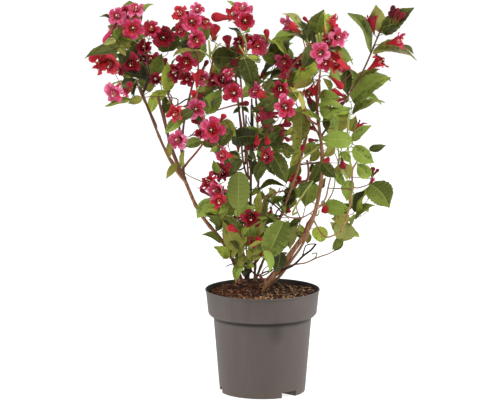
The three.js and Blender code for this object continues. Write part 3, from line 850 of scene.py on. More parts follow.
# Each bare twig has its depth in millimetres at both ends, its width, its tone and its sheet points.
BARE_TWIGS = [
    ((45, -12), 1.6, "twig_red",
        (250, 276), (257, 261), (263, 250), (271, 236), (279, 221), (286, 205), (290, 192), (295, 180),
        (298, 165), (303, 151), (306, 135), (307, 123),
    ),
    ((-30, -45), 1.5, "twig_red", (185.5, 166), (188, 162), (195, 154), (202, 145), (207, 137)),
    ((-31, -45), 0.9, "twig_dark", (142, 92), (147.5, 76), (144, 64), (140.5, 54)),
    ((-31, -40), 0.9, "twig_dark", (144, 94), (149, 76), (148, 64), (145, 52)),
    ((-35, -50), 1.2, "twig_red", (190.5, 91), (194, 80), (198, 70), (197.5, 50)),
    ((10, -10), 2.6, "twig_dark", (250, 160), (251.5, 149), (252, 125), (252, 105)),
    ((25, 5), 1.5, "twig_brown", (246, 178), (243, 160), (241, 131), (238.5, 107), (237, 90), (234.5, 69)),
    ((25, 0), 1.5, "twig_red", (246, 165), (244.5, 131), (242.5, 107), (242, 95), (239.5, 70)),
    ((0, -25), 1.1, "twig_red", (246, 106), (238, 104.5), (226, 107.5), (213, 111.5)),
    ((0, -20), 1.3, "twig_red", (236, 84), (224, 82), (211, 75), (212.7, 61), (211, 57)),
    ((-38, -60), 1.7, "twig_pink", (318, 125), (311, 121), (306, 113), (303, 104), (301, 92)),
    ((-40, -60), 1.1, "twig_red", (318, 112), (318, 104), (320, 92), (319, 75)),
    ((-40, -95), 1.6, "stalk_lime", (346, 150), (347.5, 136), (348, 125), (349, 115)),
    ((-56, -75), 1.3, "twig_tan", (351, 178), (352, 171), (355.5, 164), (360, 158)),
    ((0, -50), 1.1, "twig_tan", (286, 266), (298, 264), (305, 263), (319, 257), (328, 254), (334, 251)),
    ((-20, -55), 1.5, "twig_dark", (281, 271), (290, 267), (296, 263), (303, 256), (311, 250), (316, 244)),
    ((-30, -55), 0.9, "twig_dark", (303, 256), (304.5, 249), (306, 245.5), (311, 244), (316, 244)),
    ((20, 10), 1.2, "twig_dark", (252, 279), (258, 275.5), (264, 272.5), (272, 270)),
    ((20, 10), 0.8, "twig_tan", (262, 273), (264, 269), (268, 266)),
    ((20, -40), 1.0, "twig_pink", (291, 219), (300, 218), (309, 214), (314, 210)),
    ((-58, -35), 0.9, "twig_brown", (351, 188), (357, 188), (363, 186.5), (369, 184), (372, 177)),
    ((-58, -70), 0.9, "twig_brown", (351, 189), (342, 188.5), (334, 188.5), (328, 188)),
    ((-38, -60), 1.3, "twig_tan", (323, 206), (326, 197), (328, 188), (330.5, 178)),
    ((-38, -50), 1.0, "stalk_green", (324, 207), (329, 199), (333, 191), (335, 181), (334, 173)),
    ((35, 0), 1.6, "twig_brown", (238, 270), (234, 263), (230, 256), (226, 247), (222, 243)),
    ((40, 20), 1.6, "twig_red", (248, 270), (243, 250), (243, 235), (241.5, 213)),
    ((40, 15), 1.3, "stalk_green", (248, 262), (246, 245), (245, 230), (243.5, 215)),
    ((30, 20), 0.8, "twig_dark", (238, 264), (232, 264), (226, 266.5)),
    ((-10, -60), 1.1, "twig_dark", (237, 176), (232, 168), (226, 156), (219, 144)),
    ((20, 0), 1.8, "twig_red", (292, 187), (300, 182), (307, 180), (308.5, 170), (307, 160)),
    ((0, 10), 1.2, "twig_dark", (272, 219), (277, 211), (283, 206)),
    ((0, -10), 1.2, "twig_brown", (281, 190), (275, 193), (270, 196), (264, 205), (265, 214)),
    ((-38, -20), 1.3, "twig_brown", (321, 162), (314, 163), (305, 164), (300, 165)),
    ((-38, -20), 1.4, "stalk_lime", (320, 145), (313, 151), (306, 156), (301, 160)),
    # stalks and the long yellow-green ovaries that flowers stand on
    ((-38, -48), 1.5, "stalk_lime", (210, 57), (209.5, 48), (209, 40)),
    ((-38, -48), 1.2, "stalk_lime", (214, 53), (215, 48), (216, 44)),
    ((-35, -45), 1.3, "stalk_lime", (198, 100), (197, 92), (196, 84)),
    ((-35, -45), 1.4, "stalk_lime", (286, 96), (286, 87), (286, 79)),
    ((-30, -45), 1.3, "stalk_lime", (277, 97), (273, 94.5), (270, 93)),
    ((-10, -35), 1.4, "stalk_lime", (248, 59), (246, 45), (243, 33)),
    ((-45, -50), 1.8, "stalk_lime", (321, 47), (318, 41), (316, 35)),
    ((-45, -50), 1.8, "stalk_lime", (321, 47), (320, 40), (319, 33)),
    ((-45, -50), 1.8, "stalk_lime", (321, 47), (322, 40), (322.5, 33)),
    ((-45, -50), 1.6, "stalk_lime", (321, 47), (324, 42), (326, 36)),
    ((-35, -45), 1.3, "stalk_lime", (210, 58), (205, 53), (198, 50), (190, 51)),
    ((-31, -32), 1.6, "twig_brown", (157, 127), (149.5, 111), (142, 96), (137, 83)),
    ((-32, -38), 2.4, "twig_brown",
        (186, 180), (180, 169), (173.5, 153), (168.5, 137), (164.5, 122), (161, 109), (158, 97),
    ),
    ((-30, -40), 1.2, "stalk_lime", (247, 60), (243, 52), (239, 45)),
    ((0, -10), 1.0, "stalk_green", (345, 154), (357, 151), (366, 149)),
    ((0, -108), 1.2, "twig_brown", (249, 228), (238, 211), (226, 198), (213, 187)),
    ((10, 0), 2.0, "twig_red", (268, 289), (280, 272), (293, 253), (303, 236), (308, 222)),
    ((-38, -48), 1.1, "stalk_lime", (213, 54), (216, 48), (221, 43)),
    ((-30, -45), 1.1, "stalk_lime", (262, 70), (260, 62), (258, 56)),
    ((25, 0), 1.4, "twig_brown", (248, 180), (247.5, 165), (246.5, 150), (246, 130), (246, 115)),
    ((-20, -35), 1.1, "twig_dark", (192, 98), (186, 99.5), (180, 103.5), (172, 107)),
    ((-33, -34), 1.8, "twig_tan", (187, 184), (178, 173.5), (170.5, 162), (164.5, 150)),
    ((0, -20), 0.9, "twig_tan", (300, 219), (297, 210), (296, 202)),
    ((20, 10), 1.0, "twig_tan", (262, 277), (268, 273), (275, 268)),
    ((-10, -30), 1.4, "stalk_lime", (288, 217), (296, 206), (305, 192), (313, 181)),
    ((-60, -64), 0.9, "stalk_lime", (260, 134), (258.5, 129), (257, 126)),
    ((-60, -64), 0.9, "stalk_lime", (260, 134), (260, 129), (260, 125)),
    ((-60, -64), 0.9, "stalk_lime", (260, 134), (261.5, 130), (263, 127)),
    ((-50, -55), 1.1, "stalk_green", (338, 169), (339, 159), (338, 148)),
    ((-50, -55), 0.8, "stalk_green", (338.5, 161), (336, 156), (334, 152)),
    ((-50, -55), 0.8, "stalk_green", (339.5, 160), (340, 154), (342, 148)),
    # hooks, bent leaf stalks and dry calyces
    ((-30, -40), 0.9, "twig_red", (178, 104), (178, 99.5), (174, 98)),
    ((-30, -40), 0.9, "twig_brown", (170, 105), (172, 98), (168, 92)),
    ((-40, -50), 1.0, "twig_red", (297, 61), (305, 50), (303, 40)),
    ((-30, -45), 0.9, "twig_brown", (203, 130), (196, 131), (192, 135)),
    ((-30, -45), 0.9, "twig_brown", (200, 141), (197, 136), (190, 135)),
    ((0, -20), 0.8, "twig_tan", (295, 232), (300, 222), (303, 216), (306, 203)),
    ((0, -20), 1.0, "stalk_green", (319, 259), (317, 253), (312, 254)),
    ((-20, -30), 1.0, "stalk_green", (321, 218), (318.5, 214), (319, 210)),
    ((0, -5), 0.7, "twig_dark", (251, 129), (248, 124), (246, 120)),
    ((0, -5), 0.7, "twig_dark", (251, 126), (249, 121), (248, 117)),
    ((0, -5), 0.7, "twig_dark", (251, 132), (248, 128), (245, 126)),
    ((-10, -20), 1.3, "twig_brown", (266, 193), (264, 200), (263, 208)),
    ((-10, -20), 1.2, "twig_tan", (275, 195), (278, 192), (280, 188)),
    ((-10, -20), 1.2, "twig_dark", (275, 205), (278, 208), (281, 212)),
    ((-5, -40), 2.2, "twig_tan", (267, 290), (279, 277), (291, 261), (301, 247), (309, 232)),
    ((40, 30), 1.9, "twig_dark", (243, 282), (242, 272), (240, 262), (236, 252)),
    ((46, 38), 2.0, "twig_dark", (247, 281), (247, 270), (249, 259), (252, 250)),
    ((40, 46), 1.6, "twig_brown", (245, 281), (245, 268), (243.5, 256)),
]
FOOT_GAP, FOOT_FAR = 3, 25  # the gaps to the nearest wood from which a twig is drawn in, and with a sag
FOOT_SAG, FOOT_SHARE = 4, 0.55  # how high that sag stands, and where between the two
TWIG_STEP = 5
TWIG_FOOT, TWIG_TAPER = 1.6, 0.4  # how much thicker a twig is at its foot, and how much of that it loses


def bare_twig(depths, wide, tone, *points):
    """A twig along its sheet points, drawn in to the nearest wood at its foot."""
    depths = np.linspace(*depths, len(points)) * MM
    places = [from_sheet(point, depth) for point, depth in zip(points, depths)]
    foot = wood_points[np.argmin(np.linalg.norm(np.array(wood_points) - places[0], axis=1))]
    gap = np.linalg.norm(places[0] - foot)
    if gap > FOOT_GAP * MM:
        sag = (0, 0, FOOT_SAG * MM if gap > FOOT_FAR * MM else 0)
        places = [foot, foot + FOOT_SHARE * (places[0] - foot) + sag, *places[1:]]
    else:
        places[0] = foot
    path, share, _ = curve_through(places, TWIG_STEP * MM)
    radii = wide * POINT_SIZE / 2 * (TWIG_FOOT - TWIG_TAPER * share)
    twigs.add_tube(path, radii, TWIG_SIDES, tone)
    remember_wood(path[2:], radii[2:])


for row in BARE_TWIGS:
    bare_twig(*row)

STEEP_COST = 0.9  # how much a stalk that would hang from wood above it is shunned
TURN_COST = 0.3  # and one that would turn sharply from its parent or into its leaf
LEVEL_SLACK = 3  # how far above its leaf the wood may be without that charge, in millimetres

Stalk = namedtuple("Stalk", "foot way thick")


def stalk_cost(feet, ways, points, point_ways):
    """How far each foot is from each point of wood, with a charge for awkward growth."""
    gap = feet[:, None] - points[None]
    far = np.linalg.norm(gap, axis=2) + 1e-9
    heading = gap / far[..., None]
    above = np.clip(points[None, :, 2] - feet[:, None, 2] + LEVEL_SLACK * MM, 0, None)
    from_parent = 1 - np.einsum("ijk,jk->ij", heading, point_ways)
    into_leaf = 1 - np.einsum("ijk,ik->ij", heading, ways)
    return far * (1 + TURN_COST * (from_parent + into_leaf)) + STEEP_COST * above


def hermite(start, out, end, into, steps):
    """A smooth path from start to end, which leaves and arrives in these directions."""
    t = np.linspace(0, 1, steps + 1)[:, None]
    return (
        (2 * t**3 - 3 * t**2 + 1) * start + (t**3 - 2 * t**2 + t) * out
        + (3 * t**2 - 2 * t**3) * end + (t**3 - t**2) * into
    )


def grow_stalks(stalks):
    """Grows a twig or stalk to each foot, the nearest first, so that later ones fork from earlier ones."""
    feet = np.array([stalk.foot for stalk in stalks])
    ways = np.array([unit(stalk.way) for stalk in stalks])
    left = np.ones(len(stalks), bool)
    costs = stalk_cost(feet, ways, np.array(wood_points), np.array(wood_ways))
    nearest, cost = costs.argmin(1), costs.min(1)
    while left.any():
        pick = int(np.argmin(np.where(left, cost, np.inf)))
        left[pick] = False
        known = len(wood_points)
        grow_one(stalks[pick], ways[pick], int(nearest[pick]))
        fresh = np.array(wood_points[known:])
        if left.any() and len(fresh):
            costs = stalk_cost(feet, ways, fresh, np.array(wood_ways[known:]))
            better = costs.min(1) < cost
            nearest = np.where(better, costs.argmin(1) + known, nearest)
            cost = np.minimum(cost, costs.min(1))


OUT_SHARE, INTO_SHARE = 0.5, 0.8  # how much a stalk keeps to its parent's way, and to its leaf's
STALK_TAPER = 0.007  # how much thicker than its end a stalk is at its foot, for its length
LONGEST_TAPER = 0.12
LONG_STALK = 28  # the length in millimetres from which a stalk is a woody twig


def grow_one(stalk, way, parent):
    """A stalk or twig from one point of the wood to its foot of a leaf or flower."""
    start, parent_way, parent_radius = wood_points[parent], wood_ways[parent], wood_radii[parent]
    gap = np.asarray(stalk.foot) - start
    far = np.linalg.norm(gap)
    out = unit(OUT_SHARE * unit(gap) + OUT_SHARE * parent_way) * far
    steps = max(3, int(far / (TWIG_STEP * MM)))
    path = hermite(start, out, stalk.foot, way * far * INTO_SHARE, steps)
    foot_radius = min(parent_radius, stalk.thick + min(far, LONGEST_TAPER) * STALK_TAPER)
    radii = np.linspace(foot_radius, stalk.thick, len(path))
    woody = "twig_brown" if int(start[0] * 1e4) % 3 else "twig_red"
    twigs.add_tube(path, radii, TWIG_SIDES, woody if far > LONG_STALK * MM else "stalk_green")
    if len(path) > 2:
        remember_wood(path[1:], radii[1:])


# ---- Leaves ----
# Opposite oval leaves with a drawn-out point, a finely toothed margin and a quilted upper side between the
# veins. The midrib is pale, and so is the underside.

TOOTH = 0.035  # how far the margin stands out at a tooth and in between, as a share
BLADE_THICK, RIB_HALF = 0.0004, 0.04
LEAF_COLUMNS = np.array([-1, -0.7, -0.36, -RIB_HALF, RIB_HALF, 0.36, 0.7, 1])
# How many veins a fine and a plain leaf have, and where the rows of one vein lie.
FINE_VEINS, PLAIN_VEINS = (8, (0, 0.14, 0.57)), (6, (0, 0.5))
FIRST_ROW, ROWS_LONG, VEIN_SWEEP = 0.012, 0.976, 0.17
# A leaf's outline: the powers that shape its base and its end, and how far its point is drawn in.
FORMS = {"oval": (0.55, 0.85, 0.4), "round": (0.5, 0.52, 0.0)}
POINT_FROM, POINT_TO = 0.7, 0.97
# A leaf's fold in degrees, and its bow, waves, swing to a side and droop as shares of its length.
FOLD, BOW, WAVE, SWING, DROOP = (8, 24), (0.03, 0.13), (0.01, 0.045), (0.02, 0.1), (-1.1, 0.5)
WAVES, WAVE_OFFSET, DROOP_FROM, QUILT = 9, 1.4, 0.62, 0.011
# How painted light and shade fall on its halves, along it and on its cells, and how much lighter its veins
# and margin are than the rest between the veins.
HALF_SHADE, LIT_HALF, FAR_SHADE, CELL_SHADE = 0.9, 1.1, 0.7, 0.4
VEIN_SHADE, FIELD_SHADE, MARGIN_SHADE, SHADE_STEP = 0.5, -0.08, 0.22, 0.5

# The deep and dark tones are darker leaves and partly painted shade, for leaves in the crown's shade.
LEAF_TINTS = {
    "deep": (50, 54, 24), "dark": (72, 78, 31), "mid": (103, 116, 45), "fresh": (129, 148, 60),
    "bright": (154, 168, 60), "olive": (131, 129, 55), "pale": (152, 156, 84), "golden": (156, 151, 70),
    "lime": (180, 184, 80),
}
RIB_TINT = (190, 194, 124)
UNDER_TINT = (140, 150, 92)
SHADE_TINT = (24, 26, 10)
LIGHT_TINT = (196, 196, 92)
# The finishes of a tone: the ending of its name, the start of the finish's, and the tint it leans to, how
# far, its roughness and its shine.
# _low and _high are copies of each tone with painted shade and painted light.
LEAF_FINISHES = {
    "": ("leaf_", SHADE_TINT, 0, 0.5, 0.14),
    "_low": ("low_", SHADE_TINT, 0.24, 0.5, 0.14),
    "_high": ("high_", LIGHT_TINT, 0.15, 0.5, 0.14),
    "_rib": ("rib_", RIB_TINT, 0.36, 0.5, 0.14),
    "_under": ("under_", UNDER_TINT, 0.32, 0.62, 0.12),
}
leaf_palette = {}
for tone_name, tint in LEAF_TINTS.items():
    for ending, (start, other_tint, lean, roughness, shine) in LEAF_FINISHES.items():
        leaning = colour(*(a + (b - a) * lean for a, b in zip(tint, other_tint)))
        leaf_palette[tone_name + ending] = plain(start + tone_name, leaning, roughness, shine)


def sheet_quads(rows, columns, flip, first=0):
    """The quads of a grid of corners, which are numbered row by row from the first."""
    quads = []
    for row in range(rows - 1):
        for column in range(columns - 1):
            corner = first + row * columns + column
            quad = (corner, corner + 1, corner + columns + 1, corner + columns)
            quads.append(quad[::-1] if flip else quad)
    return quads


def add_sheet(sheaf, grid, thick, margin, at, backward, flip, tones):
    """Adds both sides of a thin sheet, which meet where the margin mask is 0.

    The grid is its front. Its back lies backward of it, as judged at one row and column.
    """
    out = np.cross(np.gradient(grid, axis=1), np.gradient(grid, axis=0))
    out /= np.linalg.norm(out, axis=2, keepdims=True) + 1e-12
    back = grid - out * thick * margin[..., None]
    if np.dot(back[at] - grid[at], backward) < 0:
        back = 2 * grid - back
    rows, columns = margin.shape
    quads = sheet_quads(rows, columns, flip) + sheet_quads(rows, columns, not flip, rows * columns)
    sheaf.add(np.concatenate([grid.reshape(-1, 3), back.reshape(-1, 3)]), quads, tones)


def blade_tones(tone, veins, between, fine, light, chance):
    """The tones of a leaf's cells, first of its upper side and then of its underside, with painted light and
    shade.
    """
    half_shift = chance.uniform(-HALF_SHADE, HALF_SHADE)
    far_shift = chance.uniform(-FAR_SHADE, FAR_SHADE)
    half_shift = LIT_HALF * light if light else half_shift
    cells = [[chance.uniform(-CELL_SHADE, CELL_SHADE) for _ in range(7)] for _ in range(veins)]
    upper, under = [], []
    rows = veins * between + 1
    for row in range(rows - 1):
        vein = VEIN_SHADE if fine and row % between == 0 else FIELD_SHADE
        far_share = row / rows * 2 - 1
        for column in (-3, -2, -1, 0, 1, 2, 3):
            shade = vein + half_shift * np.sign(column) * 0.6 + far_shift * far_share
            shade += MARGIN_SHADE * (abs(column) == 3) + cells[row // between][column + 3]
            level = "_high" if shade > SHADE_STEP else "_low" if shade < -SHADE_STEP else ""
            upper.append(tone + (level if column else "_rib"))
        half_row = [tone + ("" if vein > 0 else "_under")] * 3
        under += [*half_row, tone + "_rib", *half_row]
    return upper + under


def blade(sheaf, base, tip, face, width, tone, fine, chance, form="oval", light=0, bend=None):
    """Adds a leaf from base to tip, with its upper side towards the face direction.

    light puts painted light on its right half, or for -1 its left half, and painted shade on the other. bend
    is how far its middle swings to the right, as a share of its length.
    """
    base_power, end_power, point_drawn = FORMS[form]
    base, tip = np.asarray(base), np.asarray(tip)
    length = np.linalg.norm(tip - base)
    along = (tip - base) / length
    up = unit(face - along * np.dot(face, along))
    side = np.cross(along, up)
    veins, spacing = FINE_VEINS if fine else PLAIN_VEINS
    between = len(spacing)
    rows = veins * between + 1
    steps = np.array([vein + share for vein in range(veins) for share in spacing] + [veins]) / veins
    steps = (FIRST_ROW + ROWS_LONG * steps)[:, None]
    columns = LEAF_COLUMNS[None]
    flat = np.abs(columns)
    far = steps + VEIN_SWEEP * flat * (1 - steps) * np.sqrt(steps)
    peak = base_power / (base_power + end_power)
    top = peak**base_power * (1 - peak) ** end_power
    drawn = np.clip((far - POINT_FROM) / (POINT_TO - POINT_FROM), 0, 1)
    drawn = 1 - point_drawn * drawn**2 * (3 - 2 * drawn)
    half = width / 2 * far**base_power * (1 - far) ** end_power / top * drawn
    on_vein = (np.arange(rows) % between < between - 1)[:, None]
    edge = flat == 1
    half = half * np.where(edge, np.where(on_vein, 1 + TOOTH, 1 - TOOTH), 1)
    fold = math.tan(math.radians(chance.uniform(*FOLD)))
    bow = chance.uniform(*BOW) * length
    wave = chance.choice([-1, 1]) * chance.uniform(*WAVE) * length
    swing = chance.choice([-1, 1]) * chance.uniform(*SWING) * length
    swing = swing if bend is None else bend * length
    phase = chance.uniform(0, 6.3)
    droop = chance.uniform(*DROOP) * length
    lift = bow * 4 * far * (1 - far) + fold * half * flat * (1 - 0.25 * flat)
    lift = lift + wave * flat**2 * np.sin(WAVES * far + phase + (columns > 0) * WAVE_OFFSET)
    lift = lift + droop * np.clip(far - DROOP_FROM, 0, 1) ** 2
    quilt = np.where(on_vein, -1.0, 0.9) * np.sin(np.pi * np.clip(flat, 0.08, 1)) ** 0.6
    lift = lift + quilt * QUILT * length * (half / (width / 2 + 1e-9))
    sideways = columns * half + swing * np.sin(np.pi * far)
    grid = base + far[..., None] * length * along + sideways[..., None] * side + lift[..., None] * up
    margin = np.where(edge, 0.0, 1.0) * np.ones((rows, 1))
    margin[0] = margin[-1] = 0
    tones = blade_tones(tone, veins, between, fine, light, chance)
    add_sheet(sheaf, grid, BLADE_THICK, margin, (rows // 2, 3), -up, False, tones)


# Leaves of the front: the sheet points of base and tip, the width there, the tone, and how far each stands
# before its mass's middle in millimetres. Some have their own bend, half with painted light, and outline
# too, and the last value is for a leaf that shows its underside.
FRONT_LEAVES = [
    # left tip and shoulder
    ((140, 16), (152, 3), 4, "fresh"), ((112, 18), (99.6, 16.5), 3, "dark"),
    ((124, 29), (110, 37), 8, "fresh"), ((118, 35), (138, 41), 5, "mid", 14),
    ((116, 40), (103, 45), 6, "pale"), ((117, 42), (131, 46), 9, "olive"),
    ((120, 46), (83, 55.5), 8, "dark", 20, -0.16), ((116, 47), (101, 60), 5, "olive"),
    ((128, 50), (121, 66), 10, "deep", 24), ((130, 46), (140, 58), 8, "dark"),
    ((143, 32), (138, 41), 5, "mid"), ((168, 52), (163, 26), 22, "dark", -30),
    ((150, 75), (162, 53), 12, "mid", -10), ((168, 91), (167, 61), 12, "bright", 20),
    ((131, 99), (105, 107), 6, "fresh"), ((142, 98), (128, 103.5), 8, "olive"),
    ((157, 78), (120, 72), 12, "deep"), ((153, 87), (138, 82), 12, "mid", -15),
    ((148, 92), (156, 82), 6, "olive", -8), ((137, 80), (134, 98), 5, "deep"),
    ((124, 25), (122, 34), 8, "olive"), ((112, 36), (137, 40), 8, "fresh"),
    ((121, 36), (131, 47), 9, "olive"), ((122, 86), (136, 80), 8, "deep"),
    ((167, 91), (150, 116), 11, "bright", 10, 0.12), ((163, 95), (164, 107), 5, "dark"),
    # left, inner side
    ((184, 116), (164.5, 134), 10, "fresh", 30, None, -1), ((193, 111), (177, 121), 10, "dark", 38),
    ((203, 122), (190, 116), 6, "deep"), ((201, 141), (185, 147), 10, "mid", 20),
    ((169, 143), (170, 158), 5.5, "olive"), ((182, 167), (183, 150), 5, "olive"),
    ((176, 164), (165.5, 178), 7, "olive"), ((181, 27), (170, 31), 5, "deep"),
    ((203, 41), (209, 25), 9, "mid"), ((200, 51), (177, 44), 11, "deep", -5),
    ((192, 50), (172, 55.5), 4, "olive", 22), ((203, 143), (215, 146), 8, "dark"),
    ((217, 146), (209.5, 152), 4, "fresh", 20), ((213, 84), (198, 89), 7, "olive"),
    # top and middle
    ((211, 57), (245, 60), 20, "dark", -10, -0.03), ((236, 8), (227, 0), 3.5, "fresh"),
    ((250, 31), (232, 22), 9, "fresh", -10), ((241, 33), (228, 28), 3, "dark"),
    ((244, 58), (252, 87), 17, "dark"), ((246, 64), (240, 82), 6, "dark"),
    ((258, 57), (244, 60), 5, "bright", 20), ((249, 86), (242, 98), 9, "fresh"),
    ((271, 58), (290, 38), 18, "dark", -5, None, -1), ((277, 62), (259, 50), 11, "mid"),
    ((285, 57), (270, 40), 6, "bright", 26, 0.12), ((277, 60), (262, 78), 6, "deep"),
    ((292, 74), (268, 79), 5, "deep"), ((273, 71), (262, 82), 4, "olive"),
    ((262, 80), (252, 88), 6, "dark"), ((290, 70), (296, 82), 7, "olive"),
    ((313, 79), (291, 89), 9, "golden", 10), ((291, 101), (299, 92), 8, "mid"),
    ((278, 97), (252, 112), 14, "dark"), ((206, 113), (222, 89.5), 16, "fresh", 10),
    ((206, 108), (204, 96), 4, "dark"), ((212, 110), (221, 97), 5, "dark", 20),
    ((223, 121), (236, 136), 13, "olive"), ((231, 129), (220, 148), 13, "dark", 15),
    ((240, 107), (232.5, 113.5), 4, "dark"), ((242, 107), (249, 113), 4, "dark"),
    ((231, 140), (264, 137), 17, "deep", 10), ((282, 127), (266, 147), 13, "dark"),
    ((300, 108), (300, 144), 17, "olive"),
    # right top
    ((302, 30), (282, 13), 7, "pale", 10, 0.1), ((309, 45), (286, 31), 4.5, "golden", 20, 0.16),
    ((308, 44), (300, 19), 7, "deep"), ((318, 39), (324, 9.5), 20, "mid", -20, -0.1, 1),
    ((327.5, 34), (325, 12), 6, "bright", 4), ((328, 48), (354.5, 62.5), 8, "mid", 0, 0.03),
    ((311, 46), (302, 69), 13, "dark"), ((318, 65), (293, 83), 14, "bright"),
    ((303, 110), (289, 85.5), 5, "golden"), ((321, 121), (288, 108.5), 5, "bright", 20),
    ((307, 109), (294, 112), 4, "olive"), ((320, 94), (341, 98), 13, "fresh", 8),
    ((318, 105), (346, 107), 6, "fresh", 15), ((352, 108), (325, 118), 6, "fresh", 20),
    ((334, 110), (336, 135), 8, "fresh"), ((327, 116), (327, 132), 7, "dark"),
    ((349, 120), (337, 119), 6, "olive"), ((350, 131), (356, 115), 8, "olive"),
    ((337, 128), (349, 119), 9, "golden"), ((352, 141), (320.5, 139), 16, "fresh", 25),
    ((347, 70), (348, 96), 11, "dark"), ((340, 85), (332, 65), 8, "fresh", 0, None, 0, "oval", True),
    ((355, 85), (369, 69), 10, "olive"), ((350, 69), (356, 84), 5, "mid"),
    # right tip
    ((371, 53), (347, 13), 10.5, "mid", 0, 0.22, -1),
    ((385, 33.5), (376, 4.5), 15, "golden", 0, 0.09, 0, "oval", True),
    ((383, 34), (414.5, 7.5), 16, "dark", 0, 0.0, -1),
    ((372, 53.5), (417.5, 59.5), 11, "olive", 0, -0.16, 1),
    # right shoulder and side
    ((352, 101.5), (391, 77), 19, "fresh", 0, -0.05, -1), ((352, 115), (384, 99.5), 8, "pale", 0, -0.12),
    ((352, 140), (371.5, 125), 9, "fresh"), ((369, 150), (386, 145), 7, "dark"),
    ((353, 147), (374, 163), 15, "fresh", 20, 0.04), ((370, 177), (357, 163), 13, "fresh", 10),
    ((370, 184), (389.5, 208), 24, "mid", 0, -0.1, 1), ((354, 212), (367, 189.5), 6, "deep", 12, -0.12),
    ((357, 211), (362, 199), 6, "bright", 8), ((355, 219), (374, 204), 7, "mid", 5),
    ((350, 180), (347, 201), 12, "fresh", 10), ((352, 206), (357, 192), 6, "fresh", 5),
    ((325, 205), (350, 209), 15, "fresh"), ((345, 221), (340, 243), 21, "pale"),
    ((350, 218), (331, 218.5), 11, "golden", 8), ((353, 231), (360, 237), 5, "bright"),
    ((341, 238), (334, 251.5), 8, "dark"), ((351, 225), (356, 213), 4, "pale", 14),
    ((347, 164), (332, 173), 8, "olive"), ((334, 146), (323, 157), 8, "olive"),
    ((341, 152), (351, 163), 8, "fresh"), ((338, 172), (346, 187), 8, "fresh", 8),
    ((341, 169), (348, 181), 5, "pale", 10), ((322, 163), (336, 178), 12, "dark"),
    # inner right
    ((313, 182), (305, 207), 21, "mid", 10, None, -1), ((286, 215), (279, 200), 5, "fresh", 10),
    ((321, 163), (308, 186), 12, "dark"), ((319, 144), (311, 159), 7, "olive"),
    ((303, 149), (291, 163), 8, "lime", 32), ((299, 164), (286, 182), 12, "mid"),
    ((286, 188), (294, 203), 10, "dark"), ((313, 228.5), (325.5, 240), 14, "bright", 30, None, 0, "round"),
    ((309, 233), (307, 244), 6, "olive", -10),
    # middle and low
    ((219, 173), (213.5, 160), 7, "mid", 25), ((229, 152), (240, 156), 4, "dark"),
    ((241, 157), (230, 163), 4, "olive"), ((240, 158), (229, 177), 9, "dark"),
    ((238, 210), (239, 171), 21, "mid", 20, 0, 0, "round", True), ((213, 199), (196.5, 219), 13, "fresh"),
    ((265, 161), (256.5, 182), 11, "dark"), ((271, 152), (287, 184), 16, "dark", 20, None, -1),
    ((268, 156), (275, 176), 9, "deep", 32), ((272, 147), (296, 151), 6, "dark"),
    ((286, 187), (258, 192), 6, "dark", 0, 0.16), ((261, 188), (251.5, 197), 5, "fresh"),
    ((259, 213), (260, 190), 8, "lime", 10), ((266, 213), (271, 189), 6, "fresh", 14),
    ((285, 198), (271, 207), 6, "mid", 10, 0.15), ((283, 203), (297, 195), 11, "deep"),
    ((240, 209), (226, 215), 8, "mid", -10), ((234, 214), (257, 207), 10, "fresh", 20),
    ((218, 212), (208, 209), 5, "bright"), ((219, 219), (227, 205), 7, "olive"),
    ((216, 221), (205, 213), 5, "dark"), ((238, 226), (219, 221), 6, "dark"),
    ((239, 249), (223, 222), 16, "olive", 5), ((222, 222), (216, 232), 7, "dark"),
    ((221, 243), (202, 234), 6.5, "mid"), ((229, 258), (215, 246), 10, "bright", -10),
    ((240, 250), (236, 230), 5, "olive", 10), ((230, 240), (239, 251), 5, "dark", 20),
    ((268, 218), (245, 237), 6, "fresh", 26, None, 1),
    ((284, 220.5), (267.5, 256), 23, "mid", 0, 0, 0.8, "round"), ((289, 221), (284, 247), 9, "mid", -8),
    ((265, 250), (271, 272), 8, "fresh", 5), ((280, 251), (275, 273), 14, "deep", -15),
    ((295, 226), (290, 249), 13, "pale", -16), ((301, 218), (288, 230), 6, "dark"),
    ((306, 232), (294, 235), 7, "mid"), ((304, 232), (300, 224), 5, "bright"),
    ((262, 250), (251, 256), 4, "olive", 5), ((260, 257), (251, 260), 5, "olive"),
    ((243, 263), (235.5, 283), 9, "fresh"), ((246, 256), (238, 268), 7, "olive"),
    ((244, 246), (238, 258), 5, "olive"), ((247, 250), (254, 262), 6, "olive"),
    ((315, 112), (306, 97), 8, "dark"), ((240, 236), (226, 216), 10, "mid"),
    ((332, 118), (319, 107), 8, "fresh", 12), ((341, 232), (330, 222), 9, "pale"),
    ((331, 90), (323, 78), 6, "olive"), ((257, 238), (266, 221), 6, "olive", 8),
    ((319, 150), (309, 162), 8, "olive"), ((272, 82), (264, 92), 5, "dark"),
    ((315, 142), (304, 155), 6, "fresh", 12), ((302, 140), (291, 149), 6, "lime", 24),
    ((293, 128), (284, 136), 5, "olive"), ((278, 221), (264, 212), 6, "fresh"),
    ((366, 77), (380, 69), 5, "olive"), ((271, 128), (259, 135), 7, "dark"),
    ((270, 43), (291, 38), 6, "fresh"), ((214, 96), (204, 88), 6, "mid", 5),
    ((402, 45.5), (414, 55), 4, "dark"), ((275, 120), (260, 124), 6, "dark"),
    ((350, 178), (344, 162), 6, "olive"), ((341, 237), (332, 250), 8, "mid"),
    ((219, 227), (208, 215), 7, "mid"), ((116, 46), (126, 56), 7, "olive"),
    ((294, 78), (287, 86), 5, "dark"), ((232, 131), (239, 139), 5, "dark"),
    ((349, 112), (337, 115), 5, "bright"), ((266, 138), (260, 148), 5, "deep"),
    ((314, 43), (312, 28), 6, "deep"), ((296, 199), (290, 209), 6, "olive", 12),
    ((170, 104), (164, 113), 6, "dark"), ((296, 134), (289, 141), 5, "olive"),
    ((292, 116), (287, 123), 5, "olive"), ((322, 188), (326, 177), 4, "olive"),
    ((238, 248), (232, 259), 5, "olive"), ((299, 156), (289, 167), 6, "lime", 24),
    ((206, 88), (197, 92), 5, "olive", 5), ((294, 152), (284, 153), 5, "mid"),
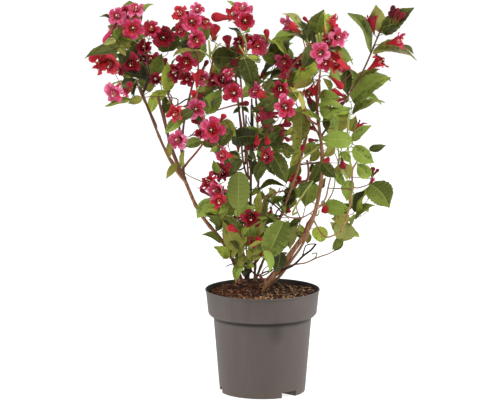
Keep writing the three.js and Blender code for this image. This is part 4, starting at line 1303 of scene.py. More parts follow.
    ((313, 164), (309, 173), 5, "dark"), ((243, 257), (235, 265), 6, "mid"),
    ((249, 262), (255, 268), 4, "fresh"), ((246, 236), (240, 247), 5, "golden", 8),
    ((254, 246), (248, 256), 6, "olive"), ((262, 240), (250, 246), 4, "fresh"),
    ((247, 226), (243, 238), 5, "bright"), ((255, 226), (250, 238), 6, "mid"),
    ((262, 228), (268, 219), 4, "pale"), ((242, 214), (251, 205), 7, "mid"),
    ((229, 205), (218, 214), 6, "fresh"), ((255, 160), (252, 175), 7, "deep"),
    ((250, 150), (256, 161), 5, "dark"), ((262, 196), (253, 204), 6, "mid"),
    ((276, 196), (268, 188), 5, "golden", 14), ((281, 150), (271, 146), 7, "mid"),
    ((290, 158), (282, 150), 6, "olive"), ((249, 248), (263, 241), 4, "golden", 20),
    ((249, 253), (262, 249), 7, "mid"), ((248, 262), (260, 256), 6, "fresh"),
    ((246, 268), (254, 262), 5, "olive"), ((243, 276), (250, 268), 5, "deep"),
    ((232, 243), (222, 233), 9, "olive"),
]

# The CAD masses of each joined piece of the front, and of the back.
PARTS = {
    "left": [
        "leaves_left_tip", "leaves_left_inner", "leaves_left_middle", "bloom_left_top",
        "bloom_left_shoulder", "bloom_left_low", "bloom_upper_left", "bloom_middle_left", "bloom_inner_left",
    ],
    "centre": [
        "leaves_centre_dark", "leaves_low_left", "leaves_foot", "leaf_front", "leaves_low_right",
        "leaves_right_centre", "bloom_centre_left", "bloom_top_centre", "bloom_centre_upper",
        "bloom_centre_middle", "bloom_right_centre", "bloom_low_left",
    ],
    "right": [
        "leaves_right_upper", "leaves_tip_left", "leaves_tip_right", "leaves_right_shoulder",
        "leaves_right_middle", "leaves_right_bright", "leaves_right_low", "leaves_right_bottom",
        "leaves_right_inner", "bloom_right_top", "bloom_right_upper", "bloom_tip_top",
    ],
    "back": [
        "leaves_back_left", "leaves_back_upper_right", "leaves_back_middle", "leaves_back_right",
        "leaves_back_low", "leaves_back_low_right", "bloom_back_upper_left", "bloom_back_upper",
    ],
}
INNER_PARTS = ["inner_left", "inner_middle", "inner_right"]
leaf_sheaves = {part: Sheaf() for part in [*PARTS, *INNER_PARTS]}


class Space:
    """A round space of the crown, and the joined piece that its leaves and flowers belong to."""

    def __init__(self, part, middle, half):
        self.part = part
        self.middle = middle
        self.half = half

    def holds(self, place, share):
        return np.linalg.norm((place - self.middle) / self.half) <= share


class Mass(Space):
    """A mass of the crown, which fills the space of its CAD node."""

    def __init__(self, name, part):
        low, high = (np.array(corner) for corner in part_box(name))
        super().__init__(part, (low + high) / 2, (high - low) / 2)
        self.name = name
        self.at = to_sheet(self.middle)
        self.round = self.half / POINT_SIZE

    def sheet_distance(self, at):
        """0 at the middle of the mass as the eye sees it, and 1 at its edge."""
        return math.hypot((at[0] - self.at[0]) / self.round[0], (at[1] - self.at[1]) / self.round[2])


masses = [Mass(name, part) for part, names in PARTS.items() for name in names]
front_masses = [mass for mass in masses if mass.part != "back"]


def mass_at(at, kinds):
    """The front mass that a sheet point falls in, or the nearest one."""
    fitting = [mass for mass in front_masses if mass.name.startswith(kinds)]
    return min(fitting, key=lambda mass: mass.sheet_distance(at))


def to_eye(place):
    return unit(EYE - place)


def around(turn, side, other):
    """The direction at this angle between two that are square to each other."""
    return math.cos(turn) * side + math.sin(turn) * other


NATURAL_WIDTH = 0.47  # the least width, as a share of the length
LEAF_DEPTH = 0.12  # how far a leaf stands from the middle of its mass, as a share of the half depth
LEAF_NOD = (-0.45, 0.15)  # how much nearer or further than its base a tip is, as a share of the length
SEEN_SWELL = 1.06
# The round spots that cover a leaf, by where each lies along it and its size as a share of the width.
LEAF_SPOTS = ((0.08, 0.2), (0.25, 0.4), (0.45, 0.5), (0.65, 0.42), (0.85, 0.25))
LEAF_STALK, STALK_RISE = 0.65 * MM, 0.15
stalks = []
front_spots = []  # where leaves and flowers of the front show: across, down, half the size, the depth


def front_leaf(
    chance, base_at, tip_at, wide, tone, lift=0, bend=None, light=0, form="oval", under=False
):
    """A leaf at its sheet points, turned about its length as far as it looks narrow."""
    centre = [(a + b) / 2 for a, b in zip(base_at, tip_at)]
    mass = mass_at(centre, ("lea", "bloom"))
    depth = mass.middle[1] - lift * MM + chance.uniform(-LEAF_DEPTH, LEAF_DEPTH) * mass.half[1]
    base = from_sheet(base_at, depth)
    across = np.linalg.norm(from_sheet(tip_at, depth) - base)
    tip = from_sheet(tip_at, depth + across * chance.uniform(*LEAF_NOD))
    seen = wide * POINT_SIZE * SEEN_SWELL
    true_width = max(seen, NATURAL_WIDTH * np.linalg.norm(tip - base))
    along = unit(tip - base)
    toward = to_eye(base)
    face = unit(toward - along * np.dot(toward, along))
    side = np.cross(along, face)
    turn = math.acos(min(1, seen / true_width))
    face = around(turn, face, -side if side[2] < 0 else side)
    face = -face if under else face
    blade(leaf_sheaves[mass.part], base, tip, face, true_width, tone, True, chance, form, light, bend)
    for share, reach in LEAF_SPOTS:
        at = to_sheet(base + (tip - base) * share)
        front_spots.append((*at, wide * reach, max(base[1], tip[1])))
    stalks.append(Stalk(base, along + (0, 0, STALK_RISE), LEAF_STALK))


leaf_chance = random.Random(7)
for row in FRONT_LEAVES:
    front_leaf(leaf_chance, *row)

# ---- Blossom ----
# Funnel flowers with a slim red tube that widens to a bell and five round spreading lobes, rose pink to
# crimson, a cream stigma and five pale anthers, on a green ovary like a stalk. Buds are red clubs.

PETAL_TINTS = {
    "petal_blush": (222, 138, 168), "petal_pale": (208, 94, 130), "petal_pink": (190, 56, 94),
    "petal_rose": (170, 42, 70), "petal_crimson": (150, 32, 50), "petal_deep": (114, 26, 38),
    "petal_dark": (80, 24, 30), "petal_red": (174, 36, 46), "petal_scarlet": (190, 46, 54),
    "petal_coral": (206, 76, 92), "cream": (246, 232, 204), "calyx": (112, 112, 46),
}
petal_palette = {name: plain(name, colour(*tint), 0.55, 0.12) for name, tint in PETAL_TINTS.items()}

# The tones inside a flower, from the depth of its throat to the margin of its lobes. Each kind of flower
# starts higher or lower on them, and has its own outside for the lobes and the tube.
PINK_RAMP = ("dark", "deep", "crimson", "rose", "pink", "pale", "blush")
RED_RAMP = ("dark", "deep", "crimson", "red", "scarlet", "coral", "pale")
# The dark and maroon kinds are darker flowers and partly painted shade, for flowers in the crown's shade.
BLOOM_TONES = {
    "bright": (PINK_RAMP, 0.9, "pink", "scarlet"),
    "mid": (PINK_RAMP, -0.1, "rose", "red"),
    "dusty": (PINK_RAMP, -1.1, "crimson", "crimson"),
    "scarlet": (RED_RAMP, -0.2, "scarlet", "scarlet"),
    "red": (RED_RAMP, -0.9, "red", "red"),
    "dark": (PINK_RAMP, -2.0, "crimson", "crimson"),
    "maroon": (PINK_RAMP, -2.8, "deep", "deep"),
}
LOBES = 5
TUBE_SHARES = np.array([0, 0.1, 0.25, 0.42, 0.58, 0.74, 0.88, 1.0])
TUBE_RADII = np.array([0.085, 0.1, 0.14, 0.21, 0.3, 0.39, 0.47, 0.53])
LOBE_SHARES = np.array([0.12, 0.28, 0.45, 0.62, 0.78, 0.91, 0.985])
MOUTH = TUBE_RADII[-1]
NECK_HALF = math.sin(math.pi / LOBES) * MOUTH
NECK_OUT = MOUTH * math.cos(math.pi / LOBES) + (1 - math.cos(math.pi / LOBES)) * MOUTH * 0.5
PETAL_SHEET = 0.0005
RUFFLES = 9  # along a lobe's margin, in radians
# The tones' steps in the tube and on the lobes: where they start, what each row adds, and what a fold takes.
# The tube starts above the lobes on its ramp: painted light, against the shade inside the tube.
TUBE_STEP, TUBE_STEP_OUT, TUBE_FOLD = 4.9, 0.1, 0.4
LOBE_STEP, LOBE_STEP_OUT, LOBE_FOLD, LOBE_MARGIN = 3.7, 0.25, 0.7, 0.7
FOLD_HALF, FOLD_ROWS, LAST_STEP, LOBE_DIFFERS, CELL_DIFFERS = 0.4, 3, 5, 0.75, 0.6
OPEN_FROM = 0.5  # stamens show from this much opened


def basis(way, chance):
    """Two directions square to a way and to each other, turned at random about it."""
    first = unit(np.cross(way, (0.31, 0.52, 0.79)))
    second = np.cross(way, first)
    turn = chance.uniform(0, 2 * math.pi)
    return around(turn, first, second), around(turn, second, -first)


def lobe_rows(mouth, way, ahead, beside, radius, opened, spread, chance):
    """The rows of points from a flower's mouth to the margin of one lobe."""
    curl = chance.uniform(0.1, 0.9) * opened
    rise = (1 - opened) * 0.7 + 0.24 + chance.uniform(-0.16, 0.2)
    cup = chance.uniform(-0.3, 0.25)
    twist = chance.uniform(-0.3, 0.3)
    long = (1 - MOUTH) * chance.uniform(0.75, 1.3)
    leans = chance.uniform(-0.14, 0.14)
    phase = chance.uniform(0, 6.3)
    broad = chance.uniform(0.31, 0.49)
    lobe = []
    for share in LOBE_SHARES:
        round_off = math.sqrt(max(0, 1 - max(0, (share - 0.5) / 0.5) ** 2))
        swell = math.sin(math.pi / 2 * min(share / 0.62, 1)) ** 1.3
        half = (NECK_HALF + (broad - NECK_HALF) * swell) * round_off
        half *= 1 + 0.08 * math.sin(RUFFLES * share + phase)
        outward = NECK_OUT + share * long * (1 - 0.35 * (1 - opened))
        height = rise * share - curl * share**2 * 0.55
        ruffle = 0.12 * np.sin(RUFFLES * share + 4 * spread + phase) * np.abs(spread) * share
        rise_across = height + cup * spread**2 * share + twist * spread * share + ruffle
        row = mouth + ahead * radius * outward
        row = row + np.outer((spread * half + leans * share) * radius, beside)
        row = row + np.outer(rise_across * radius, way)
        lobe.append(row - np.outer(0.1 * radius * spread**2 * (1 - share), ahead))
    return lobe


def lobe_tones(rows, spread, kind, chance, lobe_shift):
    """The tones of the cells of one lobe and its part of the tube, first those inside."""
    ramp, _, back, tube_tone = BLOOM_TONES[kind]
    tones = []
    for row in range(rows - 1):
        out_on_lobe = row - len(TUBE_SHARES) + 1
        for left, right in zip(spread, spread[1:]):
            off = abs(left + right) / 2
            in_fold = off < FOLD_HALF
            if out_on_lobe < 0:
                shade = TUBE_STEP + TUBE_STEP_OUT * row - TUBE_FOLD * in_fold + lobe_shift
            else:
                steps_out = LOBE_STEP_OUT * min(out_on_lobe, LAST_STEP)
                shade = LOBE_STEP + steps_out + LOBE_MARGIN * off**2 + lobe_shift
                shade -= LOBE_FOLD * (in_fold and out_on_lobe < FOLD_ROWS)
            shade += chance.uniform(-CELL_DIFFERS, CELL_DIFFERS)
            inside = RED_RAMP if out_on_lobe < 0 else ramp
            tones.append(inside[min(len(ramp) - 1, max(0, int(shade)))])
    for row in range(rows - 1):
        tones += [tube_tone if row < len(TUBE_SHARES) - 2 else back] * (len(spread) - 1)
    return ["petal_" + tone for tone in tones]


def bloom(sheaf, mouth, way, radius, tone, opened, fine, chance):
    """Adds a flower by the middle of its mouth and the way it faces. Returns the foot of its tube."""
    way = unit(way)
    side, other = basis(way, chance)
    tube_long = radius * (1.15 + 1.1 * (1 - opened)) * chance.uniform(0.92, 1.08)
    foot = mouth - way * tube_long
    columns = 7 if fine else 5
    spread = np.linspace(-1, 1, columns)
    for lobe in range(LOBES):
        centre = 2 * math.pi * lobe / LOBES
        lobe_shift = BLOOM_TONES[tone][1] + chance.uniform(-LOBE_DIFFERS, LOBE_DIFFERS)
        angles = centre + spread * math.pi / LOBES
        spokes = np.outer(np.cos(angles), side) + np.outer(np.sin(angles), other)
        ahead, beside = around(centre, side, other), around(centre, other, -side)
        grid = [
            foot + way * tube_long * share + spokes * radius * reach
            for share, reach in zip(TUBE_SHARES, TUBE_RADII)
        ]
        grid = np.array(grid + lobe_rows(mouth, way, ahead, beside, radius, opened, spread, chance))
        margin = np.ones(grid.shape[:2])
        margin[-1] = 0
        margin[len(TUBE_SHARES):, [0, -1]] = 0
        tones = lobe_tones(len(grid), spread, tone, chance, lobe_shift)
        at = len(TUBE_SHARES) - 2, columns // 2
        add_sheet(sheaf, grid, PETAL_SHEET, margin, at, ahead, True, tones)
    sepals(sheaf, foot, way, radius * 0.09, radius * 0.55, chance)
    if opened > OPEN_FROM:
        stamens(sheaf, foot, way, side, other, radius, tube_long, chance)
    return foot


# The style with its stigma, and an anther: how far along it each point lies, and the radius there.
STYLE = ((0.5, 0.0004), (0.8, 0.0004), (0.94, 0.0004), (0.97, 0.0012), (1.0, 0.0014), (1.03, 0.0004))
ANTHER = ((0, 0.0001), (0.05, 0.0005), (0.12, 0.0005), (0.17, 0.0001))
STYLE_LEAN, STYLE_PAST = 0.1, 0.34  # as shares of the radius, the second past the mouth
ANTHER_AT, ANTHER_OUT = 0.92, 0.19  # the share of the tube's length and the share of the radius


def stamens(sheaf, foot, way, side, other, radius, tube_long, chance):
    """Adds the style with its round stigma, and five anthers in the throat."""
    lean = side * chance.uniform(-STYLE_LEAN, STYLE_LEAN) + other * chance.uniform(-STYLE_LEAN, STYLE_LEAN)
    top = foot + way * (tube_long + STYLE_PAST * radius) + lean * radius
    path = [foot + (top - foot) * share for share, _ in STYLE]
    sheaf.add_tube(path, [thick for _, thick in STYLE], 6, "cream")
    for anther in range(LOBES):
        out = around(2 * math.pi * (anther + 0.5) / LOBES, side, other)
        low = foot + way * tube_long * ANTHER_AT + out * radius * ANTHER_OUT
        path = [low + way * radius * rise for rise, _ in ANTHER]
        sheaf.add_tube(path, [thick for _, thick in ANTHER], 4, "cream")


# A sepal's points: how far out each lies for the radius, how far up for the length, and how thick it is.
SEPAL = ((0.9, -0.1, 0.0005), (1.3, 0.5, 0.0006), (2.6, 1, 0.00015))
SEPAL_DIFFERS = (0.8, 1.1)


def sepals(sheaf, foot, way, radius, long, chance):
    """Adds the five narrow green tips of the calyx round the foot of a tube."""
    side, other = basis(way, chance)
    for sepal in range(LOBES):
        out = around(2 * math.pi * sepal / LOBES, side, other)
        path = [foot + out * radius * reach + way * long * rise for reach, rise, _ in SEPAL[:-1]]
        path.append(foot + out * radius * SEPAL[-1][0] + way * long * chance.uniform(*SEPAL_DIFFERS))
        sheaf.add_tube(path, [thick for _, _, thick in SEPAL], 4, "calyx")


BUD_SHARES = np.array([0, 0.12, 0.3, 0.48, 0.64, 0.78, 0.9, 0.97, 1.0])
BUD_RADII = np.array([0.3, 0.32, 0.4, 0.62, 0.88, 1.0, 0.82, 0.45, 0.08])
BUD_SIDES, BUD_RIDGE, BUD_BEND = 10, 0.09, 0.08
BUD_TONES = {
    "red": ("red", "red", "crimson"),
    "mid": ("crimson", "red", "rose"),
    "dark": ("deep", "crimson", "dark"),
    "maroon": ("dark", "deep", "dark"),
    "scarlet": ("scarlet", "red", "coral"),
    "pink": ("pink", "rose", "crimson"),
}


def bud(sheaf, foot, tip, width, tone, chance):
    """Adds a closed bud: a club with five soft ridges where the petals fold over each other."""
    foot, tip = np.asarray(foot), np.asarray(tip)
    way, long = unit(tip - foot), np.linalg.norm(tip - foot)
    side, _ = basis(way, chance)
    bend = side * long * chance.uniform(-BUD_BEND, BUD_BEND)
    path = [foot + (tip - foot) * s + bend * 4 * s * (1 - s) for s in BUD_SHARES]
    ridges = 1 + BUD_RIDGE * np.cos(LOBES * (2 * np.pi * np.arange(BUD_SIDES) / BUD_SIDES))
    vertices, quads = tube(path, np.outer(BUD_RADII * width / 2, ridges), BUD_SIDES)
    kinds = BUD_TONES[tone]
    tones = [kinds[number // 3 % 3 if number % LOBES == 0 else 0] for number in range(len(quads))]
    sheaf.add(vertices, quads, ["petal_" + tone for tone in tones])
    sepals(sheaf, foot, way, width * 0.2, long * 0.42, chance)


# Flowers of the front: the sheet point of the mouth, the width of the flower there, the way it faces as
# right, up and towards the eye, its kind, its lift before its mass, and how far it has opened.
FRONT_BLOOMS = [
    ((117, 16), 18, (0, 0.1, 1), "bright"), ((135, 9), 20, (0.1, 0.75, 0.65), "bright"),
    ((133, 29), 22, (0.1, -0.1, 1), "mid", 10), ((151, 29), 19, (0.1, 0.5, 0.8), "dusty"),
    ((163, 38), 22, (0.1, 0, 1), "dark"), ((144, 47), 16, (-0.2, 0.4, 0.8), "dark", 0, 0.8),
    ((118, 26), 14, (-0.3, -0.6, 0.6), "bright", -5, 0.9), ((109, 64), 24, (-0.3, -0.5, 0.75), "scarlet"),
    ((131, 64), 21, (0, -0.3, 0.85), "dark", 14), ((118, 70), 15, (-0.1, -0.7, 0.6), "maroon", -5),
    ((113.5, 93.5), 22, (-0.35, -0.6, 0.7), "bright", 10),
    ((100, 67), 12, (-0.8, -0.4, 0.3), "red", 0, 0.5), ((156, 79), 14, (-0.3, 0.3, 0.8), "maroon", 0, 0.9),
    ((180, 13), 18, (-0.5, 0.5, 0.6), "scarlet", 0, 0.9), ((197, 9.5), 15, (0.1, 0.5, 0.8), "bright"),
    ((192, 22), 21, (0, 0, 1), "mid", 10), ((181, 30), 17, (-0.6, -0.3, 0.6), "dusty"),
    ((196, 40.5), 20, (0.2, -0.4, 0.85), "mid", 16), ((205, 22), 16, (0.5, 0.3, 0.7), "dusty", -5),
    ((232, 13), 16, (-0.5, 0.5, 0.7), "red"), ((242, 8), 19, (0.1, 0.7, 0.7), "bright"),
    ((245, 21), 20, (0.1, 0, 1), "dusty", 10), ((233, 14), 14, (-0.4, 0.3, 0.8), "scarlet", 5),
    ((239, 42), 11, (-0.3, 0.3, 0.8), "dark", 0, 0.8), ((257, 46), 22, (0.3, -0.1, 0.95), "mid"),
    ((251, 42), 13, (-0.2, 0.4, 0.8), "red", -5, 0.9), ((186, 62), 22, (-0.1, -0.4, 0.9), "dusty", 10),
    ((175, 71), 17, (-0.6, -0.2, 0.7), "maroon"), ((187, 79), 15, (-0.1, -0.4, 0.85), "dark"),
    ((197, 75.5), 11, (0, 0.85, 0.4), "scarlet", 10, 0.5), ((203, 79), 16, (0.3, -0.3, 0.8), "bright"),
    ((195.5, 109), 21, (0.05, 0, 1), "bright", 15),
    ((175.5, 113), 18, (-0.6, -0.2, 0.7), "scarlet", 34, 0.95),
    ((177.5, 140), 20, (-0.45, -0.2, 0.85), "bright"), ((201, 132), 9, (-0.4, -0.5, 0.5), "dark", 36, 0.4),
    ((212, 130), 24, (0.05, 0, 1), "mid", 25), ((223, 80), 20, (0.2, 0.6, 0.6), "maroon"),
    ((214, 80), 15, (-0.5, 0.1, 0.8), "maroon", 0, 0.9), ((228, 74), 11, (0.4, 0.5, 0.6), "mid", 6, 0.8),
    ((233, 93), 20, (-0.1, 0, 1), "dusty", 15), ((256, 91), 17, (-0.7, 0.1, 0.65), "mid", 10, 0.95),
    ((284, 62), 20, (-0.1, -0.5, 0.8), "mid", 10), ((299, 62), 11, (-0.3, -0.5, 0.6), "dark", 12, 0.6),
    ((286, 73), 11, (0.1, -0.8, 0.5), "mid", 12, 0.8), ((280, 89), 16, (0, -0.3, 0.85), "dark", 0, 0.9),
    ((285, 107), 23, (0.05, -0.1, 1), "mid", 20), ((262, 115.5), 13, (-0.95, 0.1, 0.2), "maroon", 0, 0.5),
    ((287.5, 24), 16, (-0.8, 0.2, 0.5), "bright", 0, 0.8),
    ((332, 20), 12, (-0.2, 0.85, 0.35), "scarlet", 0, 0.6),
    ((331, 28), 14, (-0.3, 0.3, 0.85), "scarlet", -10, 0.85), ((338.5, 37.5), 19, (0.35, 0, 0.9), "bright"),
    ((329, 41), 12, (-0.6, -0.2, 0.5), "dark", 0, 0.6), ((320, 53), 20, (-0.2, -0.1, 1), "bright", 15),
    ((325, 63), 18, (0, -0.4, 0.85), "mid"), ((337, 63), 21, (-0.7, 0.3, 0.5), "red", 10, 0.85),
    ((309, 92), 10, (-0.3, -0.6, 0.6), "scarlet", 8, 0.6),
    ((372, 20), 11, (-0.15, 0.95, 0.2), "dusty", -5, 0.35),
    ((399, 41), 17, (0.9, 0.2, 0.3), "mid", 0, 0.85), ((380, 61), 18, (0.75, 0.55, 0.3), "red", 0, 0.85),
    ((223.5, 155), 17, (-0.8, 0.1, 0.5), "mid", 20, 0.95), ((222, 172), 21, (-0.2, 0.5, 0.7), "maroon"),
    ((208.5, 181.5), 18, (-0.75, 0.3, 0.5), "dark", 12, 0.8),
    ((216, 191), 21, (-0.4, -0.25, 0.85), "bright", 25), ((219, 201), 16, (0.2, -0.6, 0.6), "red", 38, 0.9),
    ((266, 156), 17, (-0.6, -0.3, 0.6), "dark", 36), ((296, 180), 13, (0.1, -0.2, 0.85), "scarlet", 6, 0.9),
    ((251, 218), 19, (-0.1, -0.3, 0.85), "dark", 28, 0.95),
    ((254, 241), 11, (0.5, -0.3, 0.7), "red", 0, 0.8), ((176, 75), 13, (-0.3, -0.3, 0.75), "dark", 0, 0.8),
    ((125, 13), 15, (0.2, 0.4, 0.8), "mid", -5), ((143, 58), 9, (0.1, -0.3, 0.7), "maroon", -15, 0.8),
]

# Buds of the front: the sheet points of foot and tip, the width, the kind, and the lift before the mass.
FRONT_BUDS = [
    ((103, 52), (89, 61), 8, "red", 10), ((131, 91.5), (129.5, 81.5), 6.5, "mid"),
    ((235, 18), (211, 17), 9.5, "red"), ((242, 47), (239, 36), 5, "dark"),
    ((248, 50), (247, 33), 4.5, "dark"), ((267, 43), (265.5, 29), 6, "red"),
    ((202, 71), (208, 60), 4.5, "maroon"), ((241, 57), (230, 64), 5.5, "dark"),
    ((194, 101), (194.5, 90), 7, "red"), ((207, 91), (197, 98), 4.5, "dark"),
    ((203, 126), (191, 120), 5, "dark"), ((219, 122), (225, 114), 6, "red"),
    ((224, 90), (227, 75), 5, "dark"), ((238, 104), (249, 103.5), 5.5, "dark"),
    ((304, 53), (293, 64), 6.5, "red"), ((274, 127), (292, 124), 5.5, "dark"),
    ((280, 127), (282, 136), 4, "dark"), ((282, 136), (290, 141), 4.5, "dark"),
    ((256.5, 133), (257, 145.5), 6, "red", 22), ((266, 134), (268, 145), 6, "red", 22),
    ((307, 91), (311, 105), 4, "dark"), ((329, 76), (343, 89), 7, "red", 10),
    ((348, 98), (331, 90), 6.5, "red", 5), ((348, 99), (334, 100), 5.5, "mid", 5),
    ((348, 100), (340, 105), 4.5, "mid"), ((317, 131), (310, 127), 4.5, "dark"),
    ((318, 140.5), (308, 140.5), 4.5, "dark"), ((391, 23), (393.5, 5), 5.5, "maroon", 12),
    ((393, 24), (399, 8), 5, "dark", 16), ((395, 24), (405, 12.5), 6.5, "dark", 16),
    ((392, 23), (389.5, 11), 4.5, "maroon", 12), ((396, 25), (401, 16), 5, "maroon", 14),
    ((239, 232), (228, 226), 8, "red", 30), ((323, 201), (325, 213.5), 8, "red", 10),
    ((319, 80), (312.5, 95), 9, "scarlet"), ((310, 25), (303, 17), 4, "mid"),
    ((306, 61), (302, 71), 4.5, "red"), ((281, 112), (268, 114), 6, "dark"),
    ((213, 41), (211, 27), 8, "mid"), ((300, 33), (289, 24), 9, "scarlet", 12),
    ((270, 99), (257, 94), 6, "red"), ((166, 66), (165, 58), 5, "dark"),
    ((211, 196), (200, 189), 4.5, "dark"), ((288, 206), (289, 213), 5, "mid"),
    ((271, 207), (271, 214), 4, "red"), ((372, 177), (374, 167), 4.5, "dark"),
    ((373, 175), (379, 169), 3.5, "dark"), ((371, 184), (373, 178), 4.5, "mid"),
    ((322, 160), (330, 160), 6.5, "red", 10), ((341, 158), (343, 169), 7, "dark", 10),
    ((305, 140), (302, 151), 5, "mid"), ((254, 237), (252, 248), 6, "dark"),
    ((228, 64), (222, 74), 5, "dark"), ((229, 49), (226.5, 35), 9.5, "mid", 5),
    ((214, 40), (216, 24), 10.5, "scarlet", 5), ((114, 25), (103.5, 43.5), 6.5, "pink"),
    ((253, 236), (262, 240), 4.5, "red"),
]
bloom_sheaves = {part: Sheaf() for part in leaf_sheaves}
FLOWER_DEPTH, DEPTH_DIFFERS = 0.18, 0.1  # how far before its mass's middle, as shares of the half depth
MOUTH_SWELL, CLOSED_SWELL = 1.08, 0.5
BUD_NOD = (-4, 8)  # how much nearer than its foot a bud's tip is, in millimetres
FLOWER_STALK, BUD_STALK = 0.65 * MM, 0.6 * MM


def front_depth(at, lift, chance):
    """The mass that a flower belongs to, and the depth of the flower near the mass's front."""
    mass = mass_at(at, ("bloom", "lea"))
    share = FLOWER_DEPTH + chance.uniform(-DEPTH_DIFFERS, DEPTH_DIFFERS)
    return mass, mass.middle[1] - share * mass.half[1] - lift * MM


def sheet_way(facing, place):
    """A way given as right, up and towards the eye, as the plant has it."""
    toward = to_eye(place)
    right = unit(np.cross((0, 0, 1), toward))
    up = np.cross(toward, right)
    return unit(facing[0] * right + facing[1] * up + facing[2] * toward)


def front_bloom(chance, at, wide, facing, tone, lift=0, opened=1):
    """A flower at its sheet point, with the stalk that is still to grow to it."""
    mass, depth = front_depth(at, lift, chance)
    mouth = from_sheet(at, depth)
    way = sheet_way(facing, mouth)
    radius = wide * POINT_SIZE / 2 * (MOUTH_SWELL + CLOSED_SWELL * (1 - opened))
    foot = bloom(bloom_sheaves[mass.part], mouth, way, radius, tone, opened, True, chance)
    front_spots.append((*at, wide * 0.5, foot[1]))
    stalks.append(Stalk(foot, way, FLOWER_STALK))


def front_bud(chance, foot_at, tip_at, wide, tone, lift=0):
    """A bud at its sheet points, with the stalk that is still to grow to it."""
    mass, depth = front_depth(foot_at, lift, chance)
    foot = from_sheet(foot_at, depth)
    tip = from_sheet(tip_at, depth - chance.uniform(*BUD_NOD) * MM)
    bud(bloom_sheaves[mass.part], foot, tip, wide * POINT_SIZE, tone, chance)
    stalks.append(Stalk(foot, unit(tip - foot), BUD_STALK))


bloom_chance = random.Random(19)
for row in FRONT_BLOOMS:
    front_bloom(bloom_chance, *row)
for row in FRONT_BUDS:
    front_bud(bloom_chance, *row)
grow_stalks(stalks)

# ---- Crown behind the front ----
# The rest of each mass: shoots that grow into it from the nearest wood, with opposite pairs of leaves, each
# pair square to the last, and flowers at their ends. They leave the crown's gaps open.

# The gaps of the crown that sky shows through: the middle on the sheet, half the width, half the height.
GAPS = [
    ((205, 185), 15, 26), ((195, 165), 9, 20), ((192, 232), 18, 14), ((150, 140), 16, 30),
    ((212, 100), 4, 5), ((152, 104), 5, 10), ((178, 96), 5, 6), ((218, 45), 4, 6), ((226, 150), 3, 5),
    ((258, 110), 4, 3), ((336, 190), 9, 9), ((304, 172), 4, 8), ((325, 190), 3, 12), ((336, 156), 5, 5),
    ((330, 226), 8, 8), ((300, 240), 3, 5), ((276, 176), 5, 8), ((268, 34), 5, 10), ((312, 30), 5, 10),
    ((360, 40), 8, 12), ((365, 90), 6, 5), ((365, 110), 6, 6), ((395, 60), 9, 5), ((392, 30), 5, 5),
    ((346, 172), 4, 6), ((360, 172), 4, 8), ((215, 240), 9, 6), ((262, 264), 5, 5), ((252, 244), 3, 5),
    ((300, 255), 14, 8), ((170, 20), 8, 10), ((160, 15), 10, 12),
]

spots = np.array(front_spots)


def hides_front(place, reach):
    """Whether something this large, in sheet points, would show before the front."""
    across, down = to_sheet(place)
    near = np.hypot(spots[:, 0] - across, spots[:, 1] - down) < spots[:, 2] + reach
    return bool(np.any(near & (spots[:, 3] > place[1])))


SIDES = ((0, 0), (1, 0), (-1, 0), (0, 1), (0, -1))
SLACK = 1.5  # how far outside the edge of a leaf or flower still counts as behind it, in sheet points


def behind_front(place, reach, beside=SLACK):
    """Whether the front hides a place, out to this many sheet points all round."""
    across, down = to_sheet(place)
    nearer = spots[:, 3] < place[1]
    for right, low in SIDES if reach else SIDES[:1]:
        far = np.hypot(spots[:, 0] - across - right * reach, spots[:, 1] - down - low * reach)
        if not np.any((far < spots[:, 2] + beside) & nearer):
            return False
    return True


def in_gap(place):
    """Whether the eye would see a place in front of or behind one of the gaps."""
    across, down = to_sheet(place)
    return any(
        ((across - right) / half_wide) ** 2 + ((down - low) / half_high) ** 2 < 1
        for (right, low), half_wide, half_high in GAPS
    )


CROWN_BACK = 0.215  # nothing of the crown ends further back
# The right has the yellow-green of new growth; the darker tones of the left are partly painted shade.
RIGHT_TONES = ("mid", "fresh", "fresh", "fresh", "bright", "olive", "golden")
LEFT_TONES = ("dark", "mid", "mid", "mid", "fresh", "olive", "fresh")
RIGHT_FROM = 0.05
LEAF_LONG, LEAF_BROAD = (34, 60), (0.42, 0.52)  # millimetres, and a share of that
LEAF_PARTS = ((0.15, 0.25), (0.5, 0.45), (0.85, 0.25), (1.0, 0))  # along a leaf, and to each side there
LEAF_CLEAR, LEAF_SLACK = 3, 2  # how far a leaf stays off the front, and may stand out from it, in points
LEAF_SMALLER = 0.68  # a leaf that doesn't fit is tried again at this size
TIP_ROOM, PAIR_ROOM = 1.12, 1.25  # how far outside its mass a leaf's tip, and a pair's node, may lie


def leaf_is_open(base, tip, wide):
    """Whether some of a leaf would show outside what stands before it, or hide it."""
    for share, side in LEAF_PARTS:
        place = base + (tip - base) * share
        reach = side * wide / POINT_SIZE
        if in_gap(place) or hides_front(place, LEAF_CLEAR) or not behind_front(place, reach, LEAF_SLACK):
            return True
    return tip[1] > CROWN_BACK


def fitted_leaf(mass, base, way, chance):
    """The tip and width of a leaf of a shoot, if it falls in the mass and clear of the gaps."""
    long = chance.uniform(*LEAF_LONG) * MM
    wide = long * chance.uniform(*LEAF_BROAD)
    for _ in range(2):
        tip = base + way * long
        if mass.holds(tip, TIP_ROOM) and not leaf_is_open(base, tip, wide):
            return tip, wide
        long, wide = LEAF_SMALLER * long, LEAF_SMALLER * wide
    return None


BARE_SHARE, BARE_SLACK = 0.12, 2.5  # how much of a shoot may show beside the front, and what counts as that
LEAST_LEAVES = 2
BARE_FOOT, BARE_LEAST = 0.2, 0.008  # the foot without leaves, as a share of the length and at least
PAIR_EVERY = 0.024
SHOOT_THICK, SHOOT_END, STALK_LONG = 1.3, 0.5, 4  # millimetres
SHOOT_TONES = ["twig_brown", "twig_red", "twig_tan"]


